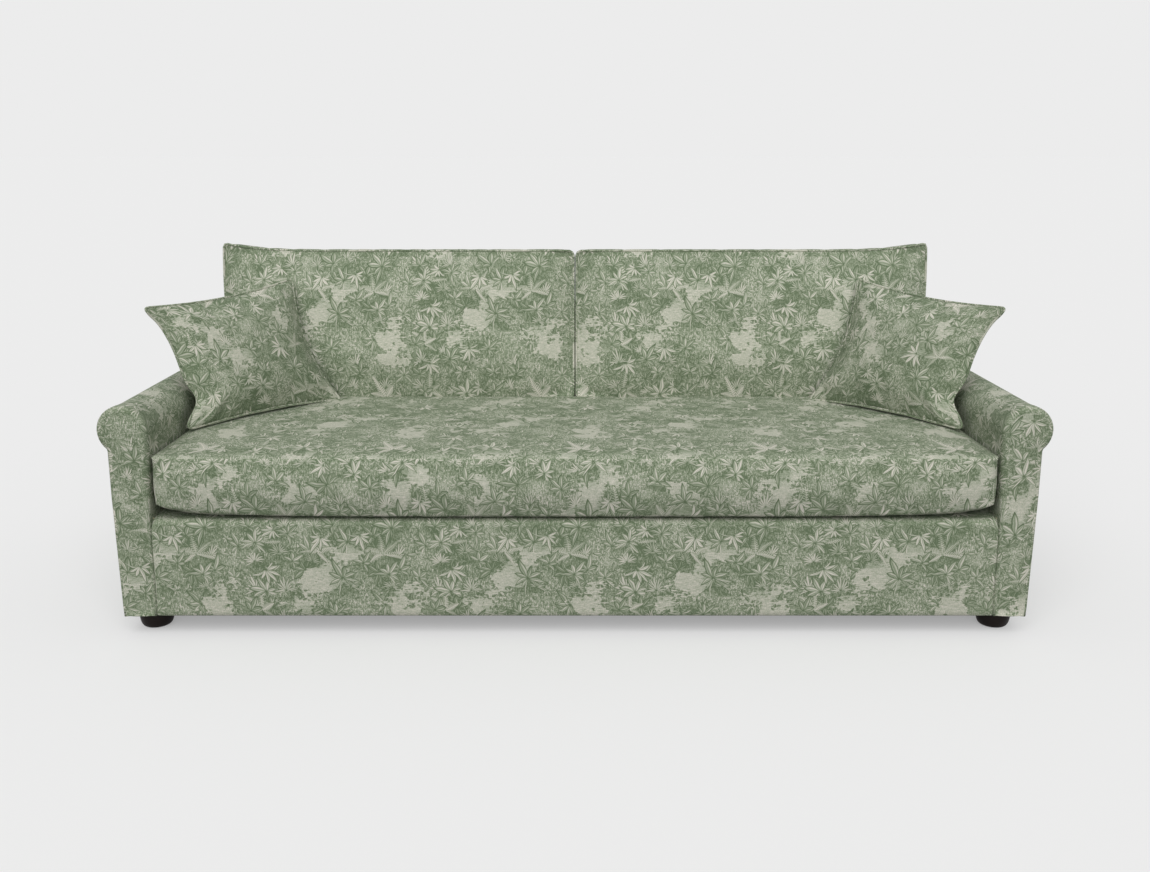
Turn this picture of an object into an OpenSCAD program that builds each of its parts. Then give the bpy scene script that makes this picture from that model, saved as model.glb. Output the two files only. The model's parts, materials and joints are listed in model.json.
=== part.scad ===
// Four-seater sofa: a timber frame with a sprung seat and rolled arms, one bench seat
// cushion, two back cushions and two scatter cushions. Front is -Y and up is +Z. The origin
// is on the floor under the middle of the footprint. Sizes are in millimetres.

/* [Overall] */
// Width across the two arm rolls
sofa_w = 2400; // [2100:10:2600]
// Depth from the front of the seat cushion to the outside back
sofa_d = 1010; // [960:10:1100]
// Height of the underside of the base above the floor
foot_h = 54; // [44:1:110]
// Height of the seat deck above the floor
deck_h = 318; // [300:2:360]
// Height of the top of the back frame
back_h = 750; // [700:5:800]
// Lean of the inside back from upright, in degrees
back_rake = 8; // [5:0.5:9]

/* [Arms] */
// Radius of the arm roll over its cover
roll_r = 62.5; // [56:0.5:72]
// Height of the centre of the arm roll
roll_z = 550; // [530:5:600]
// How far the roll stands out past the outside arm
roll_out = 22; // [12:1:30]
// How much further out the inside arm is at the deck than at the roll
arm_taper = 13; // [0:1:20]
// How much further out the facing's inner edge is at its foot than at the deck
facing_splay = 5; // [0:1:8]
// Thickness of the foam on the inside arm
arm_foam_t = 32; // [26:1:36]

/* [Timber and board] */
// Thickness of the rails
rail_t = 30; // [24:1:34]
// Depth of the arm posts from front to back
post_d = 60; // [50:1:70]
// Width of the back posts
back_post_w = 60; // [50:1:80]
// Height of the cross rails and corner blocks
block_h = 60; // [50:2:90]
// Thickness of the plywood arm facings
facing_board_t = 12; // [9:1:15]
// Thickness of hardboard and cardboard panels
panel_t = 3; // [2:0.5:4]
// Diameter of the core in the arm roll
roll_core_d = 72; // [60:2:80]

/* [Springs and webbing] */
// Number of zigzag springs across the seat
spring_count = 13; // [9:1:15]
// Wire thickness of the zigzag springs
spring_wire = 4; // [3:0.2:5]
// Width of a zigzag spring
spring_w = 50; // [40:2:56]
// Number of bends in a zigzag spring
spring_bends = 16; // [12:2:20]
// Diameter of the wires that tie the springs together
tie_wire_d = 3; // [2:0.5:4]
// Number of webbing straps in each half of the back
strap_count = 6; // [3:1:8]
// Width of a webbing strap
strap_w = 50; // [40:2:60]
// Thickness of a webbing strap
strap_t = 1.5; // [1:0.5:3]

/* [Upholstery] */
// Thickness of the cover fabric with its lining
cover_t = 2; // [1.5:0.5:3]
// Thickness of the padding in front of the front rail
border_pad_t = 20; // [16:1:25]
// Thickness of the padding over the springs
deck_pad_t = 23; // [18:1:28]
// Thickness of the padding on the inside back
back_pad_t = 36; // [30:1:40]
// Thickness of the padding over the top of the back
back_top_pad_t = 12; // [6:1:20]
// Radius of the top front edge of the base
border_edge_r = 14; // [8:1:18]
// How far the front border runs back over the deck
border_turn = 120; // [80:5:200]

/* [Feet] */
// Diameter of a foot at the top
foot_d = 88; // [78:1:92]
// Diameter of the flat under a foot
foot_base_d = 66; // [50:1:72]
// Distance of a foot's centre in from the outside arm
foot_in_x = 57; // [54:1:60]
// Distance of a foot's centre in from the front facing and the outside back
foot_in_y = 74; // [70:1:76]
// Thickness of a glide under a foot
glide_t = 3; // [2:0.5:5]
// Diameter of a glide
glide_d = 40; // [30:1:46]
// Diameter of the bolts
bolt_d = 8; // [6:1:10]

/* [Seat cushion] */
// Height of the seat cushion's boxing at its corners
seat_box_h = 122; // [100:2:140]
// How far the seat cushion crowns above its top seam
seat_crown = 8; // [4:1:30]
// How far the seat cushion stands forward of the arm facings
seat_proud = 20; // [12:1:30]
// How far the seat cushion's front boxing bulges past its seams
seat_bulge = 12; // [4:1:16]
// How far the bottom seam lifts at the corners
seat_corner_lift = 30; // [15:1:36]
// Gap between the seat cushion and each arm
side_gap = 2; // [1:0.5:6]

/* [Back cushions] */
// Height of a back cushion at the middle of its top edge
back_cushion_h = 440; // [400:4:460]
// Thickness of a back cushion's boxing at the top
back_box_t = 150; // [120:2:160]
// How far a back cushion crowns in front of its seam
back_crown = 44; // [20:1:50]
// How much thicker a back cushion is at its foot than at its top
back_swell = 37; // [0:1:44]
// How far the top outer corner stands out over the arm
back_flare = 16; // [0:1:20]
// How far the top outer corner stands above the top edge
back_ear = 16; // [0:1:24]
// How far the rear seam along the top of a back cushion lies below the front one
back_top_fall = 18; // [0:1:24]

/* [Scatter cushions] */
// Width of a scatter cushion from corner to corner
scatter_w = 488; // [460:2:494]
// Height of a scatter cushion from corner to corner
scatter_h = 370; // [350:2:380]
// Thickness of a scatter cushion at its middle
scatter_t = 116; // [90:2:124]
// How far the sides of a scatter cushion pull in
scatter_pull = 40; // [20:1:44]
// How far the top and the bottom of a scatter cushion pull in
scatter_top_pull = 15; // [8:1:30]
// How far the bottom corners of a scatter cushion spread past its top ones
scatter_spread = 17; // [0:1:20]
// How far the top of a scatter cushion sags along it, towards the arm
scatter_skew = 41; // [20:1:46]
// Turn of a scatter cushion towards the middle of the sofa, in degrees
scatter_yaw = 50; // [48:0.5:51]
// Lean of a scatter cushion from upright, in degrees
scatter_lean = 19.5; // [18:0.5:22]

/* [Hidden] */
$fn = 48;

// Colours
FABRIC = [0.55, 0.59, 0.50];
TIMBER = [0.78, 0.64, 0.45];
BOARD = [0.55, 0.42, 0.28];
FOAM = [0.90, 0.87, 0.74];
STEEL = [0.62, 0.63, 0.65];
DARK_WOOD = [0.10, 0.07, 0.06];
BLACK = [0.06, 0.06, 0.06];
CALICO = [0.86, 0.84, 0.78];

// Clearances
rest_gap = 0.3;
bolt_gap = 0.05;
middle_gap = 0.6;

// Faces of the body, from the seat outwards and from front to back
y_front = -sofa_d / 2 + seat_proud;
y_back = sofa_d / 2;
x_roll = sofa_w / 2 - roll_r;
x_in = x_roll - roll_r;
x_deck = x_in + arm_taper;
x_out = sofa_w / 2 - roll_out;
z_frame = foot_h + cover_t;

// Where the foam of the roll meets the outside arm
crease_z = roll_z - sqrt(pow(roll_r - cover_t, 2) - pow(x_out - cover_t - x_roll, 2));

// Layers of an arm
x_panel = x_in + cover_t + arm_foam_t;
x_post = x_panel + panel_t;
x_board = x_out - cover_t - panel_t;
roll_core_r = roll_core_d / 2;
post_top = roll_z - roll_core_r / 2;

// Layers of the front and of the outside back
y_rail = y_front + cover_t + border_pad_t;
facing_pad_t = border_pad_t - facing_board_t;
y_frame_back = y_back - cover_t - panel_t;

// Layers of the deck
z_pad = deck_h - cover_t;
z_tie = z_pad - deck_pad_t - tie_wire_d;
z_rail = z_tie - spring_wire;
y_turn = y_front + border_turn;

// The leaning inside back and what is behind it
back_depth = 165;
post_step = 10;
y_seat_back = y_back - back_depth;
function y_inside_back(z) = y_seat_back + (z - deck_h) * tan(back_rake);
function y_pad_back(z) = y_inside_back(z) + cover_t + back_pad_t;
function y_back_frame(z) = y_pad_back(z) + strap_t;
y_seat_rail = y_back_frame(z_rail);
z_step = z_rail + spring_wire + post_step;
z_back_frame = back_h - cover_t - back_top_pad_t;
back_rail_h = 70;
rear_rail_h = 100;
x_back = x_in - cover_t;
x_back_post = x_back - back_post_w;

// Springs, from the middle of the front rail to the middle of the seat's rear rail
spring_y0 = y_rail + rail_t / 2;
spring_y1 = y_seat_rail + rail_t / 2;
spring_step = 2 * (x_panel - spring_w) / (spring_count - 1);
clip_t = 1.5;
clip_w = 20;
clip_leg = 3;

// Bolts, feet and blocks
bolt_head_d = 15;
bolt_head_t = 5;
bolt_grip = 50;
bolt_edge = 30;
bolt_zs = [z_frame + bolt_edge, z_frame + rear_rail_h - bolt_edge];
corner_leg = 90;
foot_x = x_out - foot_in_x;
foot_ys = [y_front + foot_in_y, y_back - foot_in_y];
foot_bolt_in = 30;
foot_bolt_up = 60;
foot_belly = 0.62;
foot_neck = 0.97;
glide_pin_d = 3;
glide_pin_h = 10;

// Seat cushion
seat_half_w = x_in - side_gap;
seat_y0 = -sofa_d / 2 + seat_bulge;
seat_y1 = y_inside_back(deck_h) - side_gap;
seat_half_d = (seat_y1 - seat_y0) / 2;
seat_y = (seat_y0 + seat_y1) / 2;
seat_z = deck_h + rest_gap;
seat_seam_lift = 12;
seat_seam_z = seat_z + seat_seam_lift + seat_corner_lift + seat_box_h;
seat_top = seat_seam_z + seat_crown;
seat_panel_in = 150;
seat_foot_in = 110;
seat_pull = 4;
seat_corner_r = 24;

// Back cushions
back_half_w = (seat_half_w - middle_gap) / 2;
back_cushion_x = middle_gap + back_half_w;
back_cushion_z = seat_top + rest_gap;
back_rear_crown = 8;
back_panel_in = 150;
back_rear_in = 60;
back_pull = 6;
back_corner_r = 26;

// Scatter cushions, placed by the middle of their seam
scatter_from_arm = 142;
scatter_from_back = 350;
scatter_x = x_in - scatter_from_arm;
scatter_y = y_seat_back - scatter_from_back;
scatter_edge_t = 5;
scatter_edge_in = 8;
scatter_corner_r = 12;

// Walls and openings of the cushion covers
case_t = 2.5;
scatter_case_t = 1.6;
fill_gap = 0.3;
zip_gap = 0.03;

// Puts a piece on the right, or mirrored on the left
module on_side(side) {
  if (side > 0) children();
  else mirror([1, 0, 0]) children();
}

// Puts a piece on both sides
module both_sides() {
  for (side = [-1, 1]) on_side(side) children();
}

// A box between two opposite corners
module span(low, high) {
  translate(low) cube(high - low);
}

// A shape drawn in x and z, made solid from y0 to y1
module along_y(y0, y1) {
  translate([0, y1, 0]) rotate([90, 0, 0]) linear_extrude(y1 - y0) children();
}

// A shape drawn in y and z, made solid from x0 to x1
module along_x(x0, x1) {
  translate([x0, 0, 0]) rotate([90, 0, 90]) linear_extrude(x1 - x0) children();
}

// Base

module bolt_holes(y, x_end) {
  for (z = bolt_zs)
    translate([x_end, y, z]) rotate([0, 90, 0])
      cylinder(d = bolt_d + 2 * bolt_gap, h = x_board - x_end + 1);
}

module head_holes(y) {
  for (z = bolt_zs)
    translate([x_board - bolt_head_t, y, z]) rotate([0, 90, 0])
      cylinder(d = bolt_head_d + 2 * bolt_gap, h = bolt_head_t + 1);
}

module long_rail(y0, z_top) {
  color(TIMBER) difference() {
    span([-x_post, y0, z_frame], [x_post, y0 + rail_t, z_top]);
    both_sides() bolt_holes(y0 + rail_t / 2, x_post - bolt_grip);
  }
}

module front_rail() {
  long_rail(y_rail, z_rail);
}

module rear_rail() {
  long_rail(y_frame_back - rail_t, z_frame + rear_rail_h);
}

module seat_rear_rail() {
  color(TIMBER) span([-x_post, y_seat_rail, z_frame], [x_post, y_seat_rail + rail_t, z_rail]);
}

module foot_bolt_hole(z0, z1) {
  for (y = foot_ys) translate([foot_x, y, z0]) cylinder(d = bolt_d + 2 * bolt_gap, h = z1 - z0);
}

module end_rails() {
  color(TIMBER) both_sides() difference() {
    span([x_post, y_rail + post_d, z_frame], [x_post + rail_t, y_frame_back - post_d, z_rail]);
    foot_bolt_hole(z_frame - 1, z_frame + foot_bolt_up);
  }
}

module cross_rails() {
  color(TIMBER) for (x = [-x_in / 2, 0, x_in / 2])
    span([x - rail_t / 2, y_rail + rail_t, z_frame], [x + rail_t / 2, y_seat_rail, z_frame + block_h]);
}

module corner_blocks() {
  y0 = y_rail + rail_t;
  color(TIMBER) both_sides() {
    translate([0, 0, z_frame]) linear_extrude(block_h)
      polygon([[x_post, y0], [x_post, y0 + corner_leg], [x_post - corner_leg, y0]]);
    span([x_back, y_seat_rail + rail_t, z_frame], [x_post, y_frame_back - rail_t, z_frame + block_h]);
  }
}

module frame_bolts() {
  color(STEEL) both_sides() for (y = [y_rail + rail_t / 2, y_frame_back - rail_t / 2], z = bolt_zs)
    translate([x_post - bolt_grip, y, z]) rotate([0, 90, 0]) {
      cylinder(d = bolt_d, h = x_board - x_post + bolt_grip);
      translate([0, 0, x_board - x_post + bolt_grip - bolt_head_t])
        cylinder(d = bolt_head_d, h = bolt_head_t);
    }
}

// Feet

module foot_turning() {
  belly_z = foot_h * foot_belly;
  r_base = foot_base_d / 2;
  r_top = foot_d / 2;
  arc = [for (a = [0:15:90])
    [r_base + (r_top - r_base) * sin(a), glide_t + (belly_z - glide_t) * (1 - cos(a))]];
  rotate_extrude()
    polygon(concat([[0, glide_t]], arc, [[r_top * foot_neck, foot_h], [0, foot_h]]));
}

module feet() {
  color(DARK_WOOD) both_sides() difference() {
    for (y = foot_ys) translate([foot_x, y, 0]) foot_turning();
    foot_bolt_hole(foot_h - foot_bolt_in, foot_h + 1);
    for (y = foot_ys) translate([foot_x, y, glide_t - 1])
      cylinder(d = glide_pin_d + 2 * bolt_gap, h = glide_pin_h + 1);
  }
}

module foot_bolts() {
  color(STEEL) both_sides() for (y = foot_ys)
    translate([foot_x, y, foot_h - foot_bolt_in])
      cylinder(d = bolt_d, h = foot_bolt_in + cover_t + foot_bolt_up);
}

module foot_glides() {
  color(BLACK) both_sides() for (y = foot_ys) translate([foot_x, y, 0]) {
    cylinder(d = glide_d, h = glide_t);
    cylinder(d = glide_pin_d, h = glide_t + glide_pin_h);
  }
}

// Arms

module roll_core_hole() {
  translate([x_roll, y_rail, roll_z]) rotate([-90, 0, 0])
    cylinder(r = roll_core_r, h = y_frame_back - y_rail);
}

module front_posts() {
  color(TIMBER) both_sides() difference() {
    span([x_post, y_rail, z_frame], [x_board, y_rail + post_d, post_top]);
    roll_core_hole();
    bolt_holes(y_rail + rail_t / 2, x_post - 1);
    head_holes(y_rail + rail_t / 2);
    foot_bolt_hole(z_frame - 1, z_frame + foot_bolt_up);
  }
}

module rear_stumps() {
  color(TIMBER) both_sides() difference() {
    span([x_post, y_frame_back - post_d, z_frame], [x_board, y_frame_back, post_top]);
    roll_core_hole();
    bolt_holes(y_frame_back - rail_t / 2, x_post - 1);
    head_holes(y_frame_back - rail_t / 2);
  }
}

module roll_cores() {
  color(BOARD) both_sides() roll_core_hole();
}

module arm_panels() {
  color(BOARD) both_sides()
    span([x_panel, y_rail, z_rail], [x_post, y_frame_back, roll_z - roll_core_r]);
}

module outer_boards() {
  color(BOARD) both_sides()
    span([x_board, y_rail, z_frame], [x_out - cover_t, y_frame_back, post_top]);
}

// Section of the inside arm and roll, drawn in by t
module arm_section(t) {
  translate([x_roll, roll_z]) circle(r = roll_r - t);
  polygon([[x_deck + t, deck_h], [x_panel, deck_h], [x_roll, roll_z], [x_in + t, roll_z]]);
}

// Outline of an arm's front and rear facings, drawn in by t
module facing_outline(t) {
  translate([x_roll, roll_z]) circle(r = roll_r - t);
  deck_edge = t > 0 ? [[x_deck + t, deck_h], [x_deck, deck_h]] : [[x_deck, deck_h]];
  polygon(concat(
    [[x_deck + facing_splay, foot_h + t], [x_out - t, foot_h + t]],
    [[x_out - t, roll_z], [x_in + t, roll_z]],
    deck_edge
  ));
}

module front_facing() {
  along_y(y_front, y_front + cover_t) facing_outline(0);
}

module rear_facing() {
  along_y(y_back - cover_t, y_back) facing_outline(0);
}

module facing_boards() {
  along_y(y_rail - facing_board_t, y_rail) facing_outline(cover_t);
  along_y(y_frame_back, y_back - cover_t) facing_outline(cover_t);
}

module facing_pads() {
  color(FOAM) both_sides()
    along_y(y_front + cover_t, y_front + cover_t + facing_pad_t) facing_outline(cover_t);
}

module arm_foam() {
  along_y(y_rail, y_frame_back) difference() {
    arm_section(cover_t);
    translate([x_roll, roll_z]) circle(r = roll_core_r);
    translate([x_panel, 0]) square([x_out - cover_t - x_panel, post_top]);
  }
}

module arm_cover() {
  along_y(y_front + cover_t, y_back - cover_t) difference() {
    arm_section(0);
    arm_section(cover_t);
    translate([x_panel, 0]) square([x_out - x_panel, crease_z + rest_gap]);
  }
}

module outside_arm() {
  span([x_out - cover_t, y_front + cover_t, foot_h], [x_out, y_back - cover_t, crease_z]);
}

module left_facing_boards() { color(BOARD) on_side(-1) facing_boards(); }
module right_facing_boards() { color(BOARD) on_side(1) facing_boards(); }
module left_arm_foam() { color(FOAM) on_side(-1) arm_foam(); }
module right_arm_foam() { color(FOAM) on_side(1) arm_foam(); }
module left_arm_cover() { color(FABRIC) on_side(-1) arm_cover(); }
module right_arm_cover() { color(FABRIC) on_side(1) arm_cover(); }
module left_front_facing() { color(FABRIC) on_side(-1) front_facing(); }
module right_front_facing() { color(FABRIC) on_side(1) front_facing(); }
module left_rear_facing() { color(FABRIC) on_side(-1) rear_facing(); }
module right_rear_facing() { color(FABRIC) on_side(1) rear_facing(); }
module left_outside_arm() { color(FABRIC) on_side(-1) outside_arm(); }
module right_outside_arm() { color(FABRIC) on_side(1) outside_arm(); }

// Back

module back_post(x0, x1) {
  y_rear = y_frame_back - rail_t;
  y_step = y_seat_rail + rail_t;
  along_x(x0, x1) polygon([
    [y_step, z_frame], [y_rear, z_frame], [y_rear, z_frame + rear_rail_h],
    [y_frame_back, z_frame + rear_rail_h], [y_frame_back, z_back_frame],
    [y_back_frame(z_back_frame), z_back_frame], [y_back_frame(z_step), z_step], [y_step, z_step]
  ]);
}

module back_posts() {
  color(TIMBER) {
    both_sides() back_post(x_back_post, x_back);
    back_post(-back_post_w / 2, back_post_w / 2);
  }
}

module back_rail(z0) {
  z1 = z0 + back_rail_h;
  both_sides() along_x(back_post_w / 2, x_back_post) polygon([
    [y_back_frame(z0), z0], [y_back_frame(z0) + rail_t, z0],
    [y_back_frame(z1) + rail_t, z1], [y_back_frame(z1), z1]
  ]);
}

module back_top_rails() {
  color(TIMBER) back_rail(z_back_frame - back_rail_h);
}

module back_lower_rails() {
  color(TIMBER) back_rail(z_step);
}

module back_webbing() {
  z0 = deck_h;
  z1 = z_back_frame;
  bay = x_back_post - back_post_w / 2;
  color(BLACK) both_sides() for (i = [0:strap_count - 1]) {
    x = back_post_w / 2 + (i + 0.5) * bay / strap_count;
    along_x(x - strap_w / 2, x + strap_w / 2) polygon([
      [y_pad_back(z0), z0], [y_back_frame(z0), z0], [y_back_frame(z1), z1], [y_pad_back(z1), z1]
    ]);
  }
}

module back_board() {
  color(BOARD) span([-x_back, y_frame_back, z_frame], [x_back, y_back - cover_t, back_h - cover_t]);
}

// Section of the whole back above the deck, drawn in by t at its front and top
module back_section(t) {
  top = back_h - t;
  polygon([
    [y_inside_back(deck_h) + t, deck_h], [y_frame_back, deck_h],
    [y_frame_back, top], [y_inside_back(top) + t, top]
  ]);
}

module back_padding() {
  color(FOAM) along_x(-x_back, x_back) difference() {
    back_section(cover_t);
    polygon([
      [y_pad_back(0), 0], [y_back, 0], [y_back, z_back_frame], [y_pad_back(z_back_frame), z_back_frame]
    ]);
  }
}

module inside_back_cover() {
  color(FABRIC) {
    along_x(-x_back, x_back) difference() {
      back_section(0);
      back_section(cover_t);
    }
    both_sides() along_x(x_back, x_in) back_section(0);
  }
}

module outside_back_cover() {
  edge = [[x_deck + facing_splay, foot_h], [x_deck, deck_h], [x_in, roll_z], [x_in, back_h]];
  left_edge = [for (i = [len(edge) - 1:-1:0]) [-edge[i][0], edge[i][1]]];
  color(FABRIC) along_y(y_back - cover_t, y_back) polygon(concat(edge, left_edge));
}

// Springs and deck

// A zigzag of wire: bends across, joined by runs along alternate sides
module zigzag_spring() {
  pitch = (spring_y1 - spring_y0) / spring_bends;
  reach = spring_w / 2;
  linear_extrude(spring_wire) {
    for (i = [0:spring_bends])
      translate([-reach, spring_y0 + i * pitch - spring_wire / 2]) square([spring_w, spring_wire]);
    for (i = [0:spring_bends - 1])
      translate([i % 2 == 0 ? reach - spring_wire : -reach, spring_y0 + i * pitch])
        square([spring_wire, pitch]);
  }
}

module at_springs() {
  for (i = [0:spring_count - 1])
    translate([(i - (spring_count - 1) / 2) * spring_step, 0, 0]) children();
}

module seat_springs() {
  color(STEEL) at_springs() translate([0, 0, z_rail]) zigzag_spring();
}

module spring_clip() {
  reach = spring_wire / 2 + clip_leg;
  difference() {
    span([-clip_w / 2, -reach, 0], [clip_w / 2, reach, spring_wire + clip_t]);
    span([-clip_w, -spring_wire / 2 - bolt_gap, -1], [clip_w, spring_wire / 2 + bolt_gap, spring_wire]);
  }
}

module spring_clips() {
  color(STEEL) at_springs() for (y = [spring_y0, spring_y1]) translate([0, y, z_rail]) spring_clip();
}

module tie_wires() {
  reach = (spring_count - 1) / 2 * spring_step + spring_w / 2;
  color(STEEL) for (part = [0.25, 0.5, 0.75])
    translate([-reach, spring_y0 + part * (spring_y1 - spring_y0), z_tie + tie_wire_d / 2])
      rotate([0, 90, 0]) cylinder(d = tie_wire_d, h = 2 * reach);
}

module deck_padding() {
  color(FOAM) span([-x_panel, y_rail, z_tie + tie_wire_d], [x_panel, y_seat_rail, z_pad]);
}

// The front of the base between the arm facings, from y_front back to y1
module between_facings(y1) {
  edge = x_deck + facing_splay;
  along_y(y_front, y1) polygon([[edge, foot_h], [x_deck, deck_h], [-x_deck, deck_h], [-edge, foot_h]]);
}

// Section of the base's front edge, drawn in by t, back to y1
module border_section(t, y1) {
  r = border_edge_r - t;
  difference() {
    translate([y_front + t, foot_h]) square([y1 - y_front - t, deck_h - foot_h - t]);
    translate([y_front + t, deck_h - t - r]) square([r, r]);
  }
  intersection() {
    translate([y_front + border_edge_r, deck_h - border_edge_r]) circle(r = r);
    translate([y_front + t, deck_h - t - r]) square([r, r]);
  }
}

module border_padding() {
  color(FOAM) intersection() {
    between_facings(y_rail);
    along_x(-sofa_w / 2, sofa_w / 2) difference() {
      border_section(cover_t, y_rail);
      translate([y_front, 0]) square([border_turn, z_frame]);
    }
  }
}

module front_border_cover() {
  color(FABRIC) intersection() {
    between_facings(y_turn);
    along_x(-sofa_w / 2, sofa_w / 2) difference() {
      border_section(0, y_turn);
      border_section(cover_t, y_turn);
      translate([y_front + cover_t, 0]) square([border_turn, z_frame]);
    }
  }
}

module deck_cloth() {
  color(CALICO) span([-x_panel, y_turn, z_pad], [x_panel, y_seat_back + cover_t + back_pad_t, deck_h]);
}

module dust_cover() {
  color(BLACK) difference() {
    span([-x_out + cover_t, y_front + cover_t, foot_h], [x_out - cover_t, y_back - cover_t, z_frame]);
    both_sides() foot_bolt_hole(foot_h - 1, z_frame + 1);
  }
}

// Cushion forms. A cushion is a stack of closed rings of points. Each ring follows the
// outline of the cushion, counter-clockwise seen from the last ring.

// Places along one side of an outline, close together at its rounded ends
function side_places(n, e) =
  concat([-1, e - 1], [for (j = [1:n - 1]) -(1 - e) * cos(180 * j / n)], [1 - e]);

// The corner of an outline, cut back to the middle of its arc
function soft_corner(p, ex, ey) =
  abs(p[0]) < 1 || abs(p[1]) < 1 ? p : [p[0] * (1 - ex * (1 - cos(45))), p[1] * (1 - ey * (1 - cos(45)))];

// Outline on the square from -1 to 1, with nx and ny spans on its sides
function outline(nx, ny, ex, ey) = [
  for (p = concat(
    [for (x = side_places(nx, ex)) [x, -1]],
    [for (y = side_places(ny, ey)) [1, y]],
    [for (x = side_places(nx, ex)) [-x, 1]],
    [for (y = side_places(ny, ey)) [-1, -y]]
  )) soft_corner(p, ex, ey)
];

// Triangles of a stack of rings of n points, with the end points after the rings.
// Spans first to last of the band above ring gap_ring are left open.
function ring_faces(n, rings, gap_ring, first, last) = concat(
  [for (k = [0:rings - 2], i = [0:n - 1]) if (k != gap_ring || i < first || i >= last)
    each let (a = k * n + i, b = k * n + (i + 1) % n, c = b + n, d = a + n) [[a, d, c], [a, c, b]]],
  [for (i = [0:n - 1]) [rings * n, i, (i + 1) % n]],
  [for (i = [0:n - 1]) let (top = (rings - 1) * n) [rings * n + 1, top + (i + 1) % n, top + i]]
);

// Triangles that join the outer and inner skins of a cover round its opening
function rim_faces(n, shift, gap_ring, first, last) =
  let (low = gap_ring * n, high = low + n)
  concat(
    [for (i = [first:last - 1]) each quad(low + i + 1, low + i, low + i + shift, low + i + 1 + shift)],
    [for (i = [first:last - 1]) each quad(high + i, high + i + 1, high + i + 1 + shift, high + i + shift)],
    quad(low + first, high + first, high + first + shift, low + first + shift),
    quad(high + last, low + last, low + last + shift, high + last + shift)
  );

function quad(a, b, c, d) = [[a, b, c], [a, c, d]];

function flipped(faces, shift) = [for (f = faces) [f[0] + shift, f[2] + shift, f[1] + shift]];

// A closed cushion from its points
module filling(points, n, rings) {
  polyhedron(points, ring_faces(n, rings, -1, 0, 0));
}

// A cover with an opening for its zip
module case(outer, inner, n, rings, gap_ring, first, last) {
  faces = ring_faces(n, rings, gap_ring, first, last);
  shift = len(outer);
  polyhedron(
    concat(outer, inner),
    concat(faces, flipped(faces, shift), rim_faces(n, shift, gap_ring, first, last))
  );
}

// A zip that fills the opening of a cover
module zip(outer, inner, n, gap_ring, first, last) {
  low = gap_ring * n;
  strip = [for (skin = [outer, inner], part = [zip_gap, 1 - zip_gap], i = [first:last])
    let (
      from = i == first ? i + zip_gap : i == last ? i - 1 : i,
      along = i == last ? 1 - zip_gap : from - floor(from),
      j = floor(from),
      a = skin[low + j] + along * (skin[low + j + 1] - skin[low + j]),
      b = skin[low + n + j] + along * (skin[low + n + j + 1] - skin[low + n + j])
    )
    a + part * (b - a)];
  m = last - first + 1;
  polyhedron(strip, concat(
    [for (i = [0:m - 2]) each quad(i, i + m, i + m + 1, i + 1)],
    [for (i = [0:m - 2]) each quad(2 * m + i, 2 * m + i + 1, 3 * m + i + 1, 3 * m + i)],
    [for (i = [0:m - 2]) each quad(i + 1, 2 * m + i + 1, 2 * m + i, i)],
    [for (i = [0:m - 2]) each quad(m + i, 3 * m + i, 3 * m + i + 1, m + i + 1)],
    quad(0, 2 * m, 3 * m, m),
    quad(m - 1, 2 * m - 1, 4 * m - 1, 3 * m - 1)
  ));
}

// Rings of a boxed cushion: below 0 on the panel it rests on, from 0 to 1 up its boxing,
// and above 1 on its crowned panel
BOX_RINGS = [-1, -0.4, 0, 0.2, 0.46, 0.54, 0.8, 1, 1.22, 1.6, 2];
BOX_GAP_RING = 4;

// How far a ring lies in from the seam, and the share of the panel's crown that it has
function ring_inset(t, low_in, high_in) = t < 0 ? -t * low_in : t > 1 ? (t - 1) * high_in : 0;
function ring_rise(t) = sin(90 * min(1, t));

// Height of a skin that lies e inside the outer one
function inner_shift(t, e) = t <= 0 ? e : t >= 1 ? -e : 0;

// Seat cushion

SEAT_NX = 9;
SEAT_NY = 3;
SEAT_OUTLINE = outline(SEAT_NX, SEAT_NY, seat_corner_r / seat_half_w, seat_corner_r / seat_half_d);

// How sharply its forms fade away from the corners and from the front, across and in depth
SEAT_LIFT_FADE = [8, 4];
SEAT_BULGE_FADE = [8, 20];

function seat_seam_low(p) =
  let (fade = pow(abs(p[0]), SEAT_LIFT_FADE[0]) * pow(abs(p[1]), SEAT_LIFT_FADE[1]))
  seat_seam_lift + seat_corner_lift * fade;

function seat_height(t, p) =
  t < 0 ? seat_seam_low(p) * (1 - ring_rise(-t)) :
  t > 1 ? seat_seam_z - seat_z + seat_crown * ring_rise(t - 1) :
  seat_seam_low(p) + t * (seat_seam_z - seat_z - seat_seam_low(p));

function seat_front_bulge(t, p) =
  p[1] > 0 || t <= 0 || t >= 1 ? 0 :
  seat_bulge * sin(180 * t) * (1 - pow(p[0], SEAT_BULGE_FADE[0])) * pow(abs(p[1]), SEAT_BULGE_FADE[1]);

function seat_point(t, p, e) =
  let (
    inset = e + ring_inset(t, seat_foot_in, seat_panel_in),
    draw = 1 - seat_pull / seat_half_w * (1 - pow(p[1], 2))
  )
  [
    (seat_half_w - inset) * p[0] * draw,
    seat_y + (seat_half_d - inset) * p[1] - seat_front_bulge(t, p),
    seat_z + seat_height(t, p) + inner_shift(t, e)
  ];

function seat_points(e) = concat(
  [for (t = BOX_RINGS, p = SEAT_OUTLINE) seat_point(t, p, e)],
  [[0, seat_y, seat_z + e], [0, seat_y, seat_top - e]]
);

SEAT_ZIP_FROM = SEAT_NX + 2 + SEAT_NY + 2 + 2;
SEAT_ZIP_TO = SEAT_ZIP_FROM + SEAT_NX - 2;

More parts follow.
